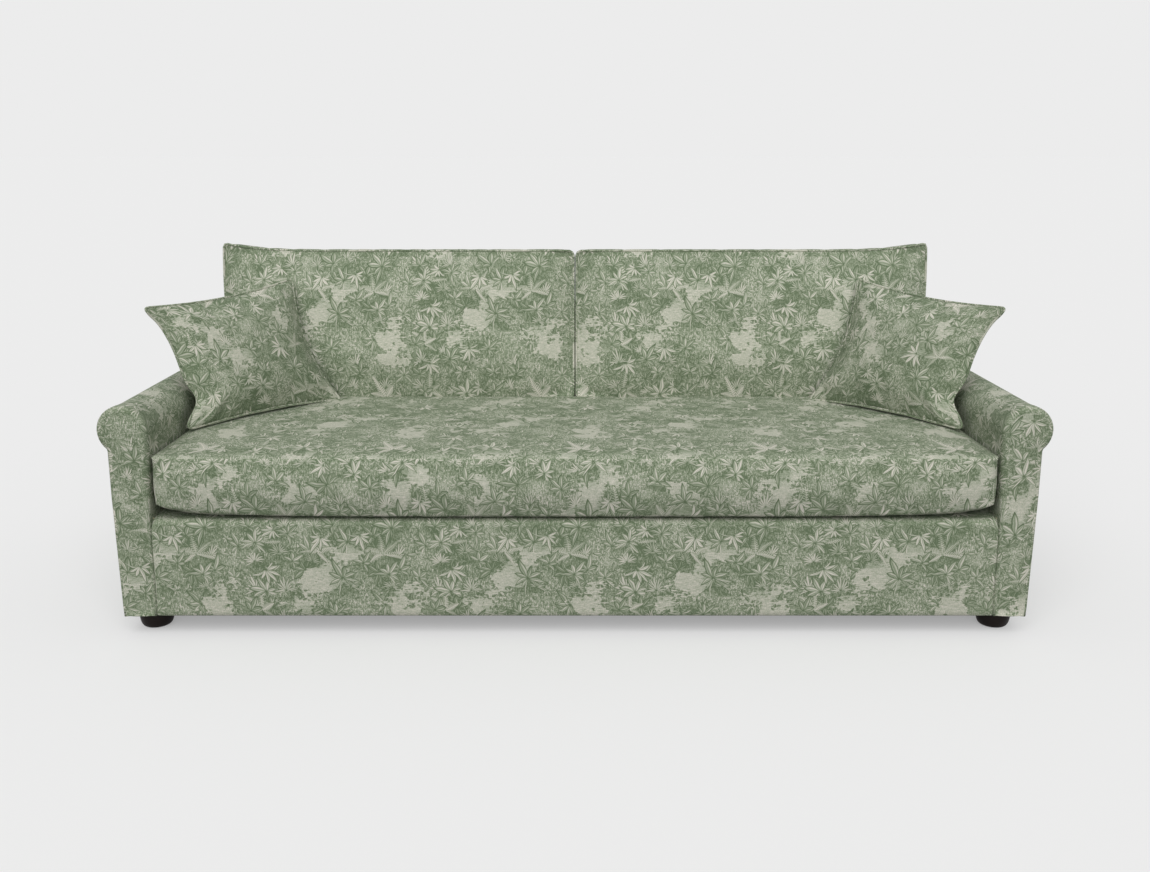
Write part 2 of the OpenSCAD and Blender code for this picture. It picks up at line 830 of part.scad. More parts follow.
module seat_cushion_cover() {
  color(FABRIC) case(seat_points(0), seat_points(case_t), len(SEAT_OUTLINE), len(BOX_RINGS),
    BOX_GAP_RING, SEAT_ZIP_FROM, SEAT_ZIP_TO);
}

module seat_cushion_core() {
  color(FOAM) filling(seat_points(case_t + fill_gap), len(SEAT_OUTLINE), len(BOX_RINGS));
}

module seat_cushion_zip() {
  color(BLACK) zip(seat_points(0), seat_points(case_t), len(SEAT_OUTLINE),
    BOX_GAP_RING, SEAT_ZIP_FROM, SEAT_ZIP_TO);
}

// Back cushions

BACK_NX = 7;
BACK_NY = 4;
BACK_OUTLINE = outline(BACK_NX, BACK_NY, back_corner_r / back_half_w, 2 * back_corner_r / back_cushion_h);

// How sharply its forms fade away from the top outer corner, across and upwards, and from its foot
BACK_EAR_FADE = [6, 2];
BACK_FLARE_FADE = [3, 0.5];
BACK_FALL_FADE = 4;
BACK_SWELL_FADE = 1.5;

function back_depth_at(t) =
  t < 0 ? back_rear_crown * (1 - ring_rise(-t)) :
  t > 1 ? back_rear_crown + back_box_t + back_crown * ring_rise(t - 1) :
  back_rear_crown + t * back_box_t;

function back_point(t, p, e) =
  let (
    inset = e + ring_inset(t, back_rear_in, back_panel_in),
    up = max(0, p[1]),
    out = max(0, p[0]),
    draw = 1 - back_pull / back_half_w * (1 - pow(p[1], 2)),
    half_h = back_cushion_h / 2,
    ear = back_ear * pow(out, BACK_EAR_FADE[0]) * pow(up, BACK_EAR_FADE[1]),
    v = half_h + (half_h - inset) * p[1] + ear,
    flare = back_flare * pow(out, BACK_FLARE_FADE[0]) * pow(up, BACK_FLARE_FADE[1]),
    u = (back_half_w - inset) * p[0] * draw + flare,
    depth = back_depth_at(t) + inner_shift(t, e),
    low = pow(max(0, 1 - v / back_cushion_h), BACK_SWELL_FADE),
    swell = back_swell * low * depth / (back_box_t + back_crown),
    rearward = 1 - min(1, max(0, depth - back_rear_crown) / back_box_t),
    fall = back_top_fall * pow(up, BACK_FALL_FADE) * rearward,
    z = back_cushion_z + v - fall
  )
  [back_cushion_x + u, y_inside_back(z) - rest_gap - depth - swell, z];

function back_points(e) = concat(
  [for (t = BOX_RINGS, p = BACK_OUTLINE) back_point(t, p, e)],
  [back_point(-1, [0, 0], e), back_point(2, [0, 0], e)]
);

BACK_ZIP_FROM = 2;
BACK_ZIP_TO = BACK_NX;

module back_cushion_cover(side) {
  color(FABRIC) on_side(side) case(back_points(0), back_points(case_t), len(BACK_OUTLINE),
    len(BOX_RINGS), BOX_GAP_RING, BACK_ZIP_FROM, BACK_ZIP_TO);
}

module back_cushion_pad(side) {
  color(FOAM) on_side(side) filling(back_points(case_t + fill_gap), len(BACK_OUTLINE), len(BOX_RINGS));
}

module back_cushion_zip(side) {
  color(BLACK) on_side(side) zip(back_points(0), back_points(case_t), len(BACK_OUTLINE),
    BOX_GAP_RING, BACK_ZIP_FROM, BACK_ZIP_TO);
}

module left_back_cushion_cover() { back_cushion_cover(-1); }
module left_back_cushion_pad() { back_cushion_pad(-1); }
module left_back_cushion_zip() { back_cushion_zip(-1); }
module right_back_cushion_cover() { back_cushion_cover(1); }
module right_back_cushion_pad() { back_cushion_pad(1); }
module right_back_cushion_zip() { back_cushion_zip(1); }

// Scatter cushions. Each ring is a share of the way from the middle to the seam, below 0
// behind the seam and above 0 in front of it.

SCATTER_RINGS = [-0.4, -0.7, -0.9, -1, 1, 0.9, 0.7, 0.4];
SCATTER_GAP_RING = 3;
SCATTER_N = 5;
SCATTER_OUTLINE =
  outline(SCATTER_N, SCATTER_N, 2 * scatter_corner_r / scatter_w, 2 * scatter_corner_r / scatter_h);

scatter_across = [-cos(scatter_yaw), sin(scatter_yaw), 0];
scatter_facing = [-sin(scatter_yaw), -cos(scatter_yaw), 0];
scatter_out = scatter_facing * cos(scatter_lean) + [0, 0, sin(scatter_lean)];
scatter_up = [0, 0, cos(scatter_lean)] - scatter_facing * sin(scatter_lean);

// How quickly it thickens from its seam
SCATTER_FULLNESS = 0.6;

// Half thickness of the cushion at a place of its outline's square
function scatter_half_t(q) =
  scatter_edge_t / 2 + (scatter_t - scatter_edge_t) / 2
    * pow(max(0, (1 - pow(q[0], 2)) * (1 - pow(q[1], 2))), SCATTER_FULLNESS);

function scatter_local(t, p, e) =
  let (
    q = abs(t) * p,
    half_w = scatter_w / 2 - (e > 0 ? scatter_edge_in + e - scatter_case_t : 0),
    half_h = scatter_h / 2 - (e > 0 ? scatter_edge_in + e - scatter_case_t : 0),
    spread = scatter_spread * (1 - q[1]) / 2,
    skew = scatter_skew * (1 + q[1]) / 2,
    u = q[0] * (half_w + spread - scatter_pull * (1 - pow(q[1], 2))) - skew,
    v = q[1] * (half_h - scatter_top_pull * (1 - pow(q[0], 2))),
    w = (scatter_half_t(q) - e) * sign(t)
  )
  u * scatter_across + v * scatter_up + w * scatter_out;

function scatter_ring_points(e) = concat(
  [for (t = SCATTER_RINGS, p = SCATTER_OUTLINE) scatter_local(t, p, e)],
  [scatter_local(-0.01, [0, 0], e), scatter_local(0.01, [0, 0], e)]
);

scatter_low = min([for (p = scatter_ring_points(0)) p[2]]);
scatter_place = [scatter_x, scatter_y, seat_top + rest_gap - scatter_low];
function scatter_points(e) = [for (p = scatter_ring_points(e)) p + scatter_place];

SCATTER_ZIP_FROM = 2;
SCATTER_ZIP_TO = SCATTER_N;

module scatter_cushion_cover(side) {
  color(FABRIC) on_side(side) case(scatter_points(0), scatter_points(scatter_case_t),
    len(SCATTER_OUTLINE), len(SCATTER_RINGS), SCATTER_GAP_RING, SCATTER_ZIP_FROM, SCATTER_ZIP_TO);
}

module scatter_cushion_pad(side) {
  color(FOAM) on_side(side)
    filling(scatter_points(scatter_case_t + fill_gap), len(SCATTER_OUTLINE), len(SCATTER_RINGS));
}

module scatter_cushion_zip(side) {
  color(BLACK) on_side(side) zip(scatter_points(0), scatter_points(scatter_case_t),
    len(SCATTER_OUTLINE), SCATTER_GAP_RING, SCATTER_ZIP_FROM, SCATTER_ZIP_TO);
}

module left_scatter_cushion_cover() { scatter_cushion_cover(-1); }
module left_scatter_cushion_pad() { scatter_cushion_pad(-1); }
module left_scatter_cushion_zip() { scatter_cushion_zip(-1); }
module right_scatter_cushion_cover() { scatter_cushion_cover(1); }
module right_scatter_cushion_pad() { scatter_cushion_pad(1); }
module right_scatter_cushion_zip() { scatter_cushion_zip(1); }

front_rail();
seat_rear_rail();
rear_rail();
end_rails();
cross_rails();
corner_blocks();
front_posts();
rear_stumps();
roll_cores();
arm_panels();
outer_boards();
left_facing_boards();
right_facing_boards();
back_posts();
back_top_rails();
back_lower_rails();
back_board();
frame_bolts();
seat_springs();
spring_clips();
tie_wires();
back_webbing();
deck_padding();
border_padding();
facing_pads();
left_arm_foam();
right_arm_foam();
back_padding();
deck_cloth();
front_border_cover();
left_arm_cover();
right_arm_cover();
left_front_facing();
right_front_facing();
left_rear_facing();
right_rear_facing();
left_outside_arm();
right_outside_arm();
inside_back_cover();
outside_back_cover();
dust_cover();
feet();
foot_bolts();
foot_glides();
seat_cushion_cover();
seat_cushion_core();
seat_cushion_zip();
left_back_cushion_cover();
left_back_cushion_pad();
left_back_cushion_zip();
right_back_cushion_cover();
right_back_cushion_pad();
right_back_cushion_zip();
left_scatter_cushion_cover();
left_scatter_cushion_pad();
left_scatter_cushion_zip();
right_scatter_cushion_cover();
right_scatter_cushion_pad();
right_scatter_cushion_zip();
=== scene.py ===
"""Looks of a long sofa with rolled arms, one bench seat cushion, two back cushions and two
scatter cushions, covered in a linen printed with foliage. Everything is in metres, in the
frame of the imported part: front is -Y, up is +Z, and the floor is at z = 0."""

import json
import logging
import math
from dataclasses import dataclass, field
from enum import Enum
from typing import Callable, Sequence

import bpy
import numpy as np
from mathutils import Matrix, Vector
from mathutils.kdtree import KDTree


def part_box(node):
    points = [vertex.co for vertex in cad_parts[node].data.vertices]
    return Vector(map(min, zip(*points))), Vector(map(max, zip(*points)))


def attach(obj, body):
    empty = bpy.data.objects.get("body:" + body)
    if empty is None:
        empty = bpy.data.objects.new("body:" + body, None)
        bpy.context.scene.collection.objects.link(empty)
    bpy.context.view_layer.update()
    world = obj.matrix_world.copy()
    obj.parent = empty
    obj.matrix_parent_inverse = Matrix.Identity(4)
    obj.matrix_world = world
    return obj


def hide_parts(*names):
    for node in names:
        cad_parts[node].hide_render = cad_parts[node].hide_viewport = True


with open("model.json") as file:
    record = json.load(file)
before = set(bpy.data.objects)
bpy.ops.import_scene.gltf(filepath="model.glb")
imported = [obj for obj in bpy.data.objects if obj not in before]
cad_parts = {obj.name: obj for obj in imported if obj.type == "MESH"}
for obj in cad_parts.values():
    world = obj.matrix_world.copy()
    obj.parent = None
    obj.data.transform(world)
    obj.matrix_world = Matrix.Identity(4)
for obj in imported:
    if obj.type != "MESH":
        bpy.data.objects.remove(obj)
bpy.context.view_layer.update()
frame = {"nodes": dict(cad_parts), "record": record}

CLOTH_MAP = "cloth"
HEM_R = 0.002  # how near its lower edge a cover starts to turn under, in metres
HEM_UP = 0.001  # how far the turned edge rises
log = logging.getLogger("sofa")

Shade = tuple[int, int, int]  # a screen colour, from 0 to 255


class Slot(Enum):
    """Material slots of the record."""

    LINEN = "printed_linen"
    TIMBER = "timber"
    BOARD = "board"
    FOAM = "foam"
    STEEL = "steel"
    FOOT = "foot_wood"
    BLACK_CLOTH = "black_cloth"
    PLATFORM = "platform_cloth"
    ZIP = "zip"
    GLIDE = "glide"


class Side(Enum):
    """Side of the sofa, seen from the front."""

    LEFT = -1
    RIGHT = 1

    @property
    def word(self) -> str:
        """The side's name, as the part's nodes have it."""
        return self.name.lower()


# ---------------------------------------------------------------- materials


class Signal:
    """A number that varies over a surface, with arithmetic that adds nodes to its tree."""

    def __init__(self, tree: bpy.types.NodeTree, socket: bpy.types.NodeSocket) -> None:
        """Wraps a socket.

        Args:
            tree: Node tree that holds it.
            socket: Output socket that carries the number.
        """
        self.tree = tree
        self.socket = socket

    def math(self, operation: str, *others: "Signal | float") -> "Signal":
        """Adds a Math node fed by this signal and the others.

        Args:
            operation: Blender's name of the operation.
            others: Further operands.

        Returns:
            The node's result.
        """
        node = self.tree.nodes.new("ShaderNodeMath")
        node.operation = operation
        for entry, operand in zip(node.inputs, (self, *others)):
            if isinstance(operand, Signal):
                self.tree.links.new(operand.socket, entry)
            else:
                entry.default_value = operand
        return Signal(self.tree, node.outputs[0])

    def __add__(self, other: "Signal | float") -> "Signal":
        """Sum."""
        return self.math("ADD", other)

    def __sub__(self, other: "Signal | float") -> "Signal":
        """Difference."""
        return self.math("SUBTRACT", other)

    def __mul__(self, other: "Signal | float") -> "Signal":
        """Product."""
        return self.math("MULTIPLY", other)

    def __truediv__(self, other: "Signal | float") -> "Signal":
        """Quotient."""
        return self.math("DIVIDE", other)

    def __neg__(self) -> "Signal":
        """Negative."""
        return self.math("MULTIPLY", -1.0)

    def __abs__(self) -> "Signal":
        """Absolute value."""
        return self.math("ABSOLUTE")

    __radd__ = __add__
    __rmul__ = __mul__

    def __rsub__(self, other: float) -> "Signal":
        """Difference from a plain number."""
        return self.math("MULTIPLY_ADD", -1.0, other)

    def above(self, low: float, high: float) -> "Signal":
        """Smooth step.

        Args:
            low: Where the result leaves 0.
            high: Where it reaches 1.

        Returns:
            A signal from 0 to 1. With high below low it falls instead.
        """
        node = self.tree.nodes.new("ShaderNodeMapRange")
        node.interpolation_type = "SMOOTHSTEP"
        self.tree.links.new(self.socket, node.inputs["Value"])
        turned = high < low
        node.inputs["From Min"].default_value = min(low, high)
        node.inputs["From Max"].default_value = max(low, high)
        node.inputs["To Min"].default_value = 1.0 if turned else 0.0
        node.inputs["To Max"].default_value = 0.0 if turned else 1.0
        return Signal(self.tree, node.outputs["Result"])

    def centred(self, amount: float) -> "Signal":
        """A noise from 0 to 1 made to swing round 0 by half an amount."""
        return (self - 0.5) * amount

    def towards(self, other: "Signal | float", share: "Signal | float") -> "Signal":
        """Mix.

        Args:
            other: Signal that a share of 1 gives.
            share: How far to go towards it.

        Returns:
            The mixed signal.
        """
        return self + (other - self if isinstance(other, Signal) else (-self + other)) * share


class Shader:
    """A material's node tree while it is being written."""

    def __init__(self, name: str) -> None:
        """Starts a material with one Principled shader.

        Args:
            name: The material's name.
        """
        self.material = bpy.data.materials.new(name)
        self.material.use_nodes = True
        self.tree = self.material.node_tree
        self.surface = self.tree.nodes["Principled BSDF"]

    def signal(self, socket: bpy.types.NodeSocket) -> Signal:
        """Wraps an output socket of this tree."""
        return Signal(self.tree, socket)

    def place(self) -> tuple[Signal, Signal, Signal]:
        """The object coordinates of the surface, in metres."""
        node = self.tree.nodes.new("ShaderNodeTexCoord")
        return self.parts(node.outputs["Object"])

    def cloth(self) -> tuple[Signal, Signal, Signal]:
        """Where the surface lies on its flat cloth, in metres, from its own UV map."""
        node = self.tree.nodes.new("ShaderNodeUVMap")
        node.uv_map = CLOTH_MAP
        return self.parts(node.outputs["UV"])

    def parts(self, socket: bpy.types.NodeSocket) -> tuple[Signal, Signal, Signal]:
        """The three components of a vector socket."""
        node = self.tree.nodes.new("ShaderNodeSeparateXYZ")
        self.tree.links.new(socket, node.inputs[0])
        x, y, z = (self.signal(out) for out in node.outputs)
        return x, y, z

    def vector(self, x: Signal, y: Signal, z: Signal | float = 0.0) -> bpy.types.NodeSocket:
        """A vector socket from its components.

        Args:
            x: First component.
            y: Second component.
            z: Third component.

        Returns:
            The socket.
        """
        node = self.tree.nodes.new("ShaderNodeCombineXYZ")
        for entry, part in zip(node.inputs, (x, y, z)):
            if isinstance(part, Signal):
                self.tree.links.new(part.socket, entry)
            else:
                entry.default_value = part
        return node.outputs[0]

    def noise(
        self, where: bpy.types.NodeSocket, scale: float, detail: float = 2.0, rough: float = 0.5
    ) -> Signal:
        """Soft noise round 0.5.

        Args:
            where: Coordinates.
            scale: Repeats in a metre.
            detail: Octaves.
            rough: Strength of the finer octaves.

        Returns:
            The noise.
        """
        node = self.tree.nodes.new("ShaderNodeTexNoise")
        self.tree.links.new(where, node.inputs["Vector"])
        node.inputs["Scale"].default_value = scale
        node.inputs["Detail"].default_value = detail
        node.inputs["Roughness"].default_value = rough
        return self.signal(node.outputs["Fac"])

    def random(self, x: Signal, y: Signal, seed: float) -> tuple[Signal, Signal, Signal, Signal]:
        """Four random numbers for each whole x and y.

        Args:
            x: First whole number.
            y: Second whole number.
            seed: Sets this choice apart from the others.

        Returns:
            Four signals from 0 to 1.
        """
        node = self.tree.nodes.new("ShaderNodeTexWhiteNoise")
        node.noise_dimensions = "3D"
        self.tree.links.new(self.vector(x, y, seed), node.inputs["Vector"])
        parts = self.tree.nodes.new("ShaderNodeSeparateColor")
        self.tree.links.new(node.outputs["Color"], parts.inputs[0])
        a, b, c = (self.signal(out) for out in parts.outputs)
        return a, b, c, self.signal(node.outputs["Value"])

    def colour(self, tone: Signal, stops: Sequence[tuple[float, Shade]]) -> bpy.types.NodeSocket:
        """A colour for each tone.

        Args:
            tone: Signal from 0 to 1.
            stops: Tones and the screen colours that they take.

        Returns:
            The colour socket.
        """
        node = self.tree.nodes.new("ShaderNodeValToRGB")
        self.tree.links.new(tone.socket, node.inputs[0])
        ramp = node.color_ramp
        while len(ramp.elements) < len(stops):
            ramp.elements.new(0.5)
        for element, (place, shade) in zip(ramp.elements, stops):
            element.position = place
            element.color = (*screen(shade), 1.0)
        return node.outputs[0]

    def finish(
        self,
        colour: bpy.types.NodeSocket | Shade,
        rough: float,
        height: Signal | None = None,
        bump: float = 0.3,
        depth: float = 0.001,
        **constants: float | tuple[float, ...],
    ) -> bpy.types.Material:
        """Feeds the Principled shader.

        Args:
            colour: Colour socket, or a plain screen colour.
            rough: Roughness.
            height: Bump height from 0 to 1.
            bump: Strength of the bump.
            depth: What a height of 1 stands for, in metres.
            constants: Values for other sockets of the shader, by name.

        Returns:
            The finished material.
        """
        if isinstance(colour, tuple):
            self.surface.inputs["Base Color"].default_value = (*screen(colour), 1.0)
        else:
            self.tree.links.new(colour, self.surface.inputs["Base Color"])
        self.surface.inputs["Roughness"].default_value = rough
        for name, value in constants.items():
            self.surface.inputs[name.replace("_", " ").title().replace("Ior", "IOR")].default_value = value
        if height is not None:
            node = self.tree.nodes.new("ShaderNodeBump")
            node.inputs["Strength"].default_value = bump
            node.inputs["Distance"].default_value = depth
            self.tree.links.new(height.socket, node.inputs["Height"])
            self.tree.links.new(node.outputs["Normal"], self.surface.inputs["Normal"])
        return self.material


def screen(shade: Shade) -> tuple[float, float, float]:
    """Linear values of a screen colour."""
    r, g, b = (c / 255 / 12.92 if c < 11 else ((c / 255 + 0.055) / 1.055) ** 2.4 for c in shade)
    return r, g, b


@dataclass(frozen=True)
class Spot:
    """A place in one cell of a jittered grid, seen from the motif that grows in it."""

    x: Signal
    y: Signal
    randoms: tuple[Signal, Signal, Signal, Signal]
    column: Signal
    row: Signal
    open: Signal


@dataclass(frozen=True)
class Motif:
    """What one layer of the print adds: where it covers, its tone there from 0 to 1, and the
    shade that it throws on what lies behind."""

    cover: Signal
    tone: Signal
    shade: Signal | float = 0.0


@dataclass(frozen=True)
class Plant:
    """One layer of plants in the print.

    Attributes:
        columns: Cells across one repeat, with a plant in each.
        seed: Sets its grid apart from the others. Its leaves are drawn from it too.
        turn: Lowest and highest turn of a plant, in radians.
        leaves: Leaves that a full circle would have.
        width: Half the width of a leaf, times about 3, as a share of its length.
        spread: How far the leaves spread to each side, in radians.
        fill: Tone of the leaves.
        jitter: How far a plant may stand off its cell's middle, in cells.
        feathers: Leaflets along a leaf, or 0 for plain leaves.
        gaps: Share of the cells that stay empty.
        limit: How open the cloth may be where it grows, past the edge of a clearing.
    """

    columns: int
    seed: float
    turn: tuple[float, float]
    leaves: float
    width: float
    spread: float
    fill: float
    jitter: float = 0.5
    feathers: float = 0.0
    gaps: float | None = None
    limit: float | None = None


WEEDS = Plant(10, 1.0, (-1.5, 1.5), 7.0, 0.62, 2.6, 0.54, gaps=0.15)
THICKET = Plant(5, 5.0, (-1.5, 1.5), 9.0, 0.44, 2.6, 0.46)
GRASS = Plant(5, 9.0, (-0.5, 0.5), 22.0, 0.20, 1.5, 0.78, jitter=0.4, limit=0.3)
FERNS = Plant(3, 2.0, (-0.7, 0.7), 8.0, 0.24, 2.0, 0.74, feathers=13.0, limit=0.0)
SHRUBS = Plant(5, 3.0, (-1.2, 1.2), 8.0, 0.50, 2.0, 0.50, gaps=0.2, limit=0.0)
LILIES = Plant(4, 4.0, (-0.9, 0.9), 10.0, 0.44, 2.4, 0.56, gaps=0.15)
SPRAYS = Plant(4, 6.0, (1.9, 4.4), 13.0, 0.34, 1.5, 0.70, gaps=0.5, limit=0.3)


@dataclass(frozen=True)
class Marks:
    """The places and the noises that every layer of the print draws on."""

    where: tuple[Signal, Signal]
    swing: Signal
    broad: Signal
    fine: Signal
    hatch: Signal
    stroke: Signal
    stipple: Signal


@dataclass(frozen=True)
class PrintedLinen:
    """Linen printed with layered foliage in greens, with pale clearings between the plants."""

    repeat: tuple[float, float] = (0.48, 0.60)
    thread: float = 0.0011
    wander: float = 0.012
    clear_at: float = 1.15
    behind: tuple[Plant, ...] = (WEEDS, THICKET)
    before: tuple[Plant, ...] = (GRASS, FERNS, SHRUBS, LILIES, SPRAYS)
    stops: tuple[tuple[float, Shade], ...] = (
        (0.0, (94, 109, 82)),
        (0.28, (120, 132, 106)),
        (0.55, (149, 157, 136)),
        (0.8, (184, 185, 169)),
        (1.0, (208, 203, 192)),
    )

    def clearing(self, u: Signal, v: Signal) -> Signal:
        """How open the growth is at a place on the cloth, with one and the same form in each repeat.

        Args:
            u: Place across the cloth.
            v: Place up the cloth.

        Returns:
            A signal from about -2.4 to 2.4, highest in the clearings.
        """
        a, b = u * (math.tau / self.repeat[0]), v * (math.tau / self.repeat[1])
        bends = (b * 2.0 + a.math("SINE") * 1.6).math("SINE")
        streaks = (a * 2.0 - b + (b + 1.0).math("SINE") * 1.1).math("SINE")
        nooks = (b * 5.0 + a * 2.0 + (a * 2.0).math("SINE")).math("SINE")
        return bends + streaks * 0.9 + nooks * 0.4

    def spot(
        self,
        shader: Shader,
        where: tuple[Signal, Signal],
        columns: int,
        seed: float,
        jitter: float,
        turn: tuple[float, float],
    ) -> Spot:
        """Divides the repeat into cells and turns each cell's place towards its motif.

        Args:
            shader: The material being written.
            where: Place on the cloth.
            columns: Cells across one repeat.
            seed: Sets this grid apart from the others.
            jitter: How far a motif may stand off its cell's middle, in cells.
            turn: Lowest and highest turn of a motif, in radians.

        Returns:
            The place as the motif sees it, in cells, and how open the cloth is at its middle.
        """
        size = self.repeat[0] / columns
        rows = round(self.repeat[1] / size)
        x, y = where[0] / size + seed * 0.37, where[1] / size + seed * 0.61
        column, row = x.math("FLOOR"), y.math("FLOOR")
        wrapped = column.math("FLOORED_MODULO", columns), row.math("FLOORED_MODULO", rows)
        randoms = shader.random(*wrapped, seed)
        middle_x = column + 0.5 + (randoms[0] - 0.5) * jitter
        middle_y = row + 0.5 + (randoms[1] - 0.5) * jitter
        open_here = self.clearing((middle_x - seed * 0.37) * size, (middle_y - seed * 0.61) * size)
        x, y = x - middle_x, y - middle_y
        angle = randoms[2] * (turn[1] - turn[0]) + turn[0]
        cos, sin = angle.math("COSINE"), angle.math("SINE")
        return Spot(x * cos + y * sin, y * cos - x * sin, randoms, *wrapped, open_here)

    def blade(self, x: Signal, y: Signal, width: float, tip: float, fill: float, line: float) -> Motif:
        """A leaf that runs from x = 0 to x = 1 along its midrib, with a dark outline.

        Args:
            x: Place along the leaf.
            y: Place across it.
            width: Half its width, times about 3.
            tip: How soon it narrows, above 1 for a long tip.
            fill: Tone inside the outline.
            line: Width of the outline, in leaf lengths.

        Returns:
            The leaf.
        """
        along = x.math("MAXIMUM", 0.0).math("MINIMUM", 1.0)
        half = (along.math("POWER", 0.7) * (1.0 - along).math("POWER", tip)) * width
        across = abs(y)
        inside = half - across
        cover = inside.above(0.0, line * 0.3)
        rim = inside.above(line * 1.5, line * 0.8)
        rib = across.above(line * 0.9, line * 0.3)
        lit = y.above(-line * 0.3, line * 0.3)
        return Motif(cover, lit * 0.28 - rib * 0.28 - rim * (fill + 0.12) + along * 0.14 + fill)

    def fan(self, shader: Shader, spot: Spot, plant: Plant) -> Motif:
        """A plant whose leaves rise from one root and bend over.

        Args:
            shader: The material being written.
            spot: Place in the cell.
            plant: Its form.

        Returns:
            The plant.
        """
        size = spot.randoms[2] * 0.35 + 0.70
        x, y = spot.x / size, spot.y / size + 0.24
        y = y + x * x * 1.1
        radius = (x * x + y * y).math("SQRT")
        angle = x.math("ARCTAN2", y)
        sector = angle * (plant.leaves / math.tau)
        number = sector.math("ROUND")
        pick = shader.random(number + spot.column * 17.0, spot.row, plant.seed + 0.5)
        reach = (pick[0] * 0.24 + 0.42) * (1.0 - abs(x) / (radius + 0.001) * 0.35)
        aside = (sector - number + pick[1].centred(0.3)) * (math.tau / plant.leaves)
        along, across = radius / reach, radius * aside / reach
        if plant.feathers:
            leaf = self.feather(along, across, plant.width, plant.feathers, plant.fill)
        else:
            leaf = self.blade(along, across, plant.width, 0.9, plant.fill, plant.width * 0.12)
        fanned = abs(angle).above(plant.spread + 0.03, plant.spread)
        shade = radius.above(0.50, 0.12) * 0.18
        tone = leaf.tone + pick[2].centred(0.22) + spot.randoms[0].centred(0.30)
        return Motif(leaf.cover * fanned, tone, shade)

    def feather(self, x: Signal, y: Signal, width: float, leaflets: float, fill: float) -> Motif:
        """A frond with narrow leaflets on both sides, from x = 0 to x = 1.

        Args:
            x: Place along the frond.
            y: Place across it.
            width: Half its width, in lengths.
            leaflets: Pairs of leaflets.
            fill: Tone of the leaflets.

        Returns:
            The frond.
        """
        along = x.math("MAXIMUM", 0.0).math("MINIMUM", 1.0)
        reach = (1.0 - along).math("POWER", 0.75) * along.above(0.0, 0.25) * width
        across = abs(y)
        slanted = (along - across * 0.8) * leaflets
        tooth = abs(slanted - slanted.math("ROUND"))
        thin = 0.40 - across / (reach + 0.01) * 0.20
        leaflet = (thin - tooth).above(0.0, 0.12).math("MAXIMUM", across.above(0.02, 0.008))
        lit = y.above(-0.01, 0.01) * 0.14
        return Motif((reach - across).above(0.0, 0.015), leaflet * (fill - 0.20) + lit + 0.16)

    def laid_over(self, under: Signal, motif: Motif, amount: Signal | float = 1.0) -> Signal:
        """Lays a motif over the print so far.

        Args:
            under: Tone so far.
            motif: What is laid over it.
            amount: How much of it shows.

        Returns:
            The new tone.
        """
        return (under - motif.shade * amount).towards(motif.tone, motif.cover * amount)

    def planted(self, shader: Shader, marks: Marks, under: Signal, plant: Plant) -> Signal:
        """Lays one layer of plants over the print so far.

        Args:
            shader: The material being written.
            marks: Places and noises.
            under: Tone so far.
            plant: The layer.

        Returns:
            The new tone.
        """
        spot = self.spot(shader, marks.where, plant.columns, plant.seed, plant.jitter, plant.turn)
        amount: Signal | float = 1.0
        if plant.gaps is not None:
            amount = spot.randoms[3].above(plant.gaps, plant.gaps + 0.05)
        if plant.limit is not None:
            limit = self.clear_at + plant.limit
            amount = amount * spot.open.above(limit, limit - 0.1)
        return self.laid_over(under, self.fan(shader, spot, plant), amount)

    def marks(self, shader: Shader, u: Signal, v: Signal) -> Marks:
        """Draws the noises, and lets the places wander a little.

        Args:
            shader: The material being written.
            u: Place across the cloth.
            v: Place up the cloth.

        Returns:
            Places and noises.
        """
        flat = shader.vector(u, v)
        swing = shader.noise(flat, 24.0, 2.0)
        drift = shader.noise(shader.vector(v, u), 24.0)
        x, y = u + swing.centred(self.wander), v + drift.centred(self.wander)
        return Marks(
            where=(x, y),
            swing=swing,
            broad=shader.noise(shader.vector(x * 0.55 + y * 0.25, y), 17.0, 3.0, 0.6),
            fine=shader.noise(flat, 120.0, 3.0, 0.65),
            hatch=shader.noise(shader.vector(u, v * 0.3), 300.0, 1.0),
            stroke=shader.noise(shader.vector(u * 0.25, v), 260.0, 1.0),
            stipple=shader.noise(shader.vector(u, v * 0.6), 420.0, 1.0).above(0.44, 0.56),
        )

    def ground(self, shader: Shader, marks: Marks) -> Signal:
        """Hatched and stippled greenery behind the plants, with a soft dark mound here and there.

        Args:
            shader: The material being written.
            marks: Places and noises.

        Returns:
            Its tone, from 0, bare cloth, to 1, full ink.
        """
        tone = marks.broad.centred(0.9) + marks.fine.centred(1.2) + marks.hatch.centred(1.3)
        tone = tone + marks.stipple.centred(0.34) + 0.48
        mound = self.spot(shader, marks.where, 4, 7.0, 0.6, (-0.5, 0.5))
        low = mound.x * mound.x * 7.0 + mound.y * mound.y * 16.0
        low = low + marks.fine.centred(1.5) + marks.hatch.centred(1.0)
        soft = low.above(1.0, 0.35) * mound.randoms[3].above(0.35, 0.40)
        return tone.towards(marks.hatch * 0.9 + marks.stipple * 0.3 + 0.02, soft * 0.9)

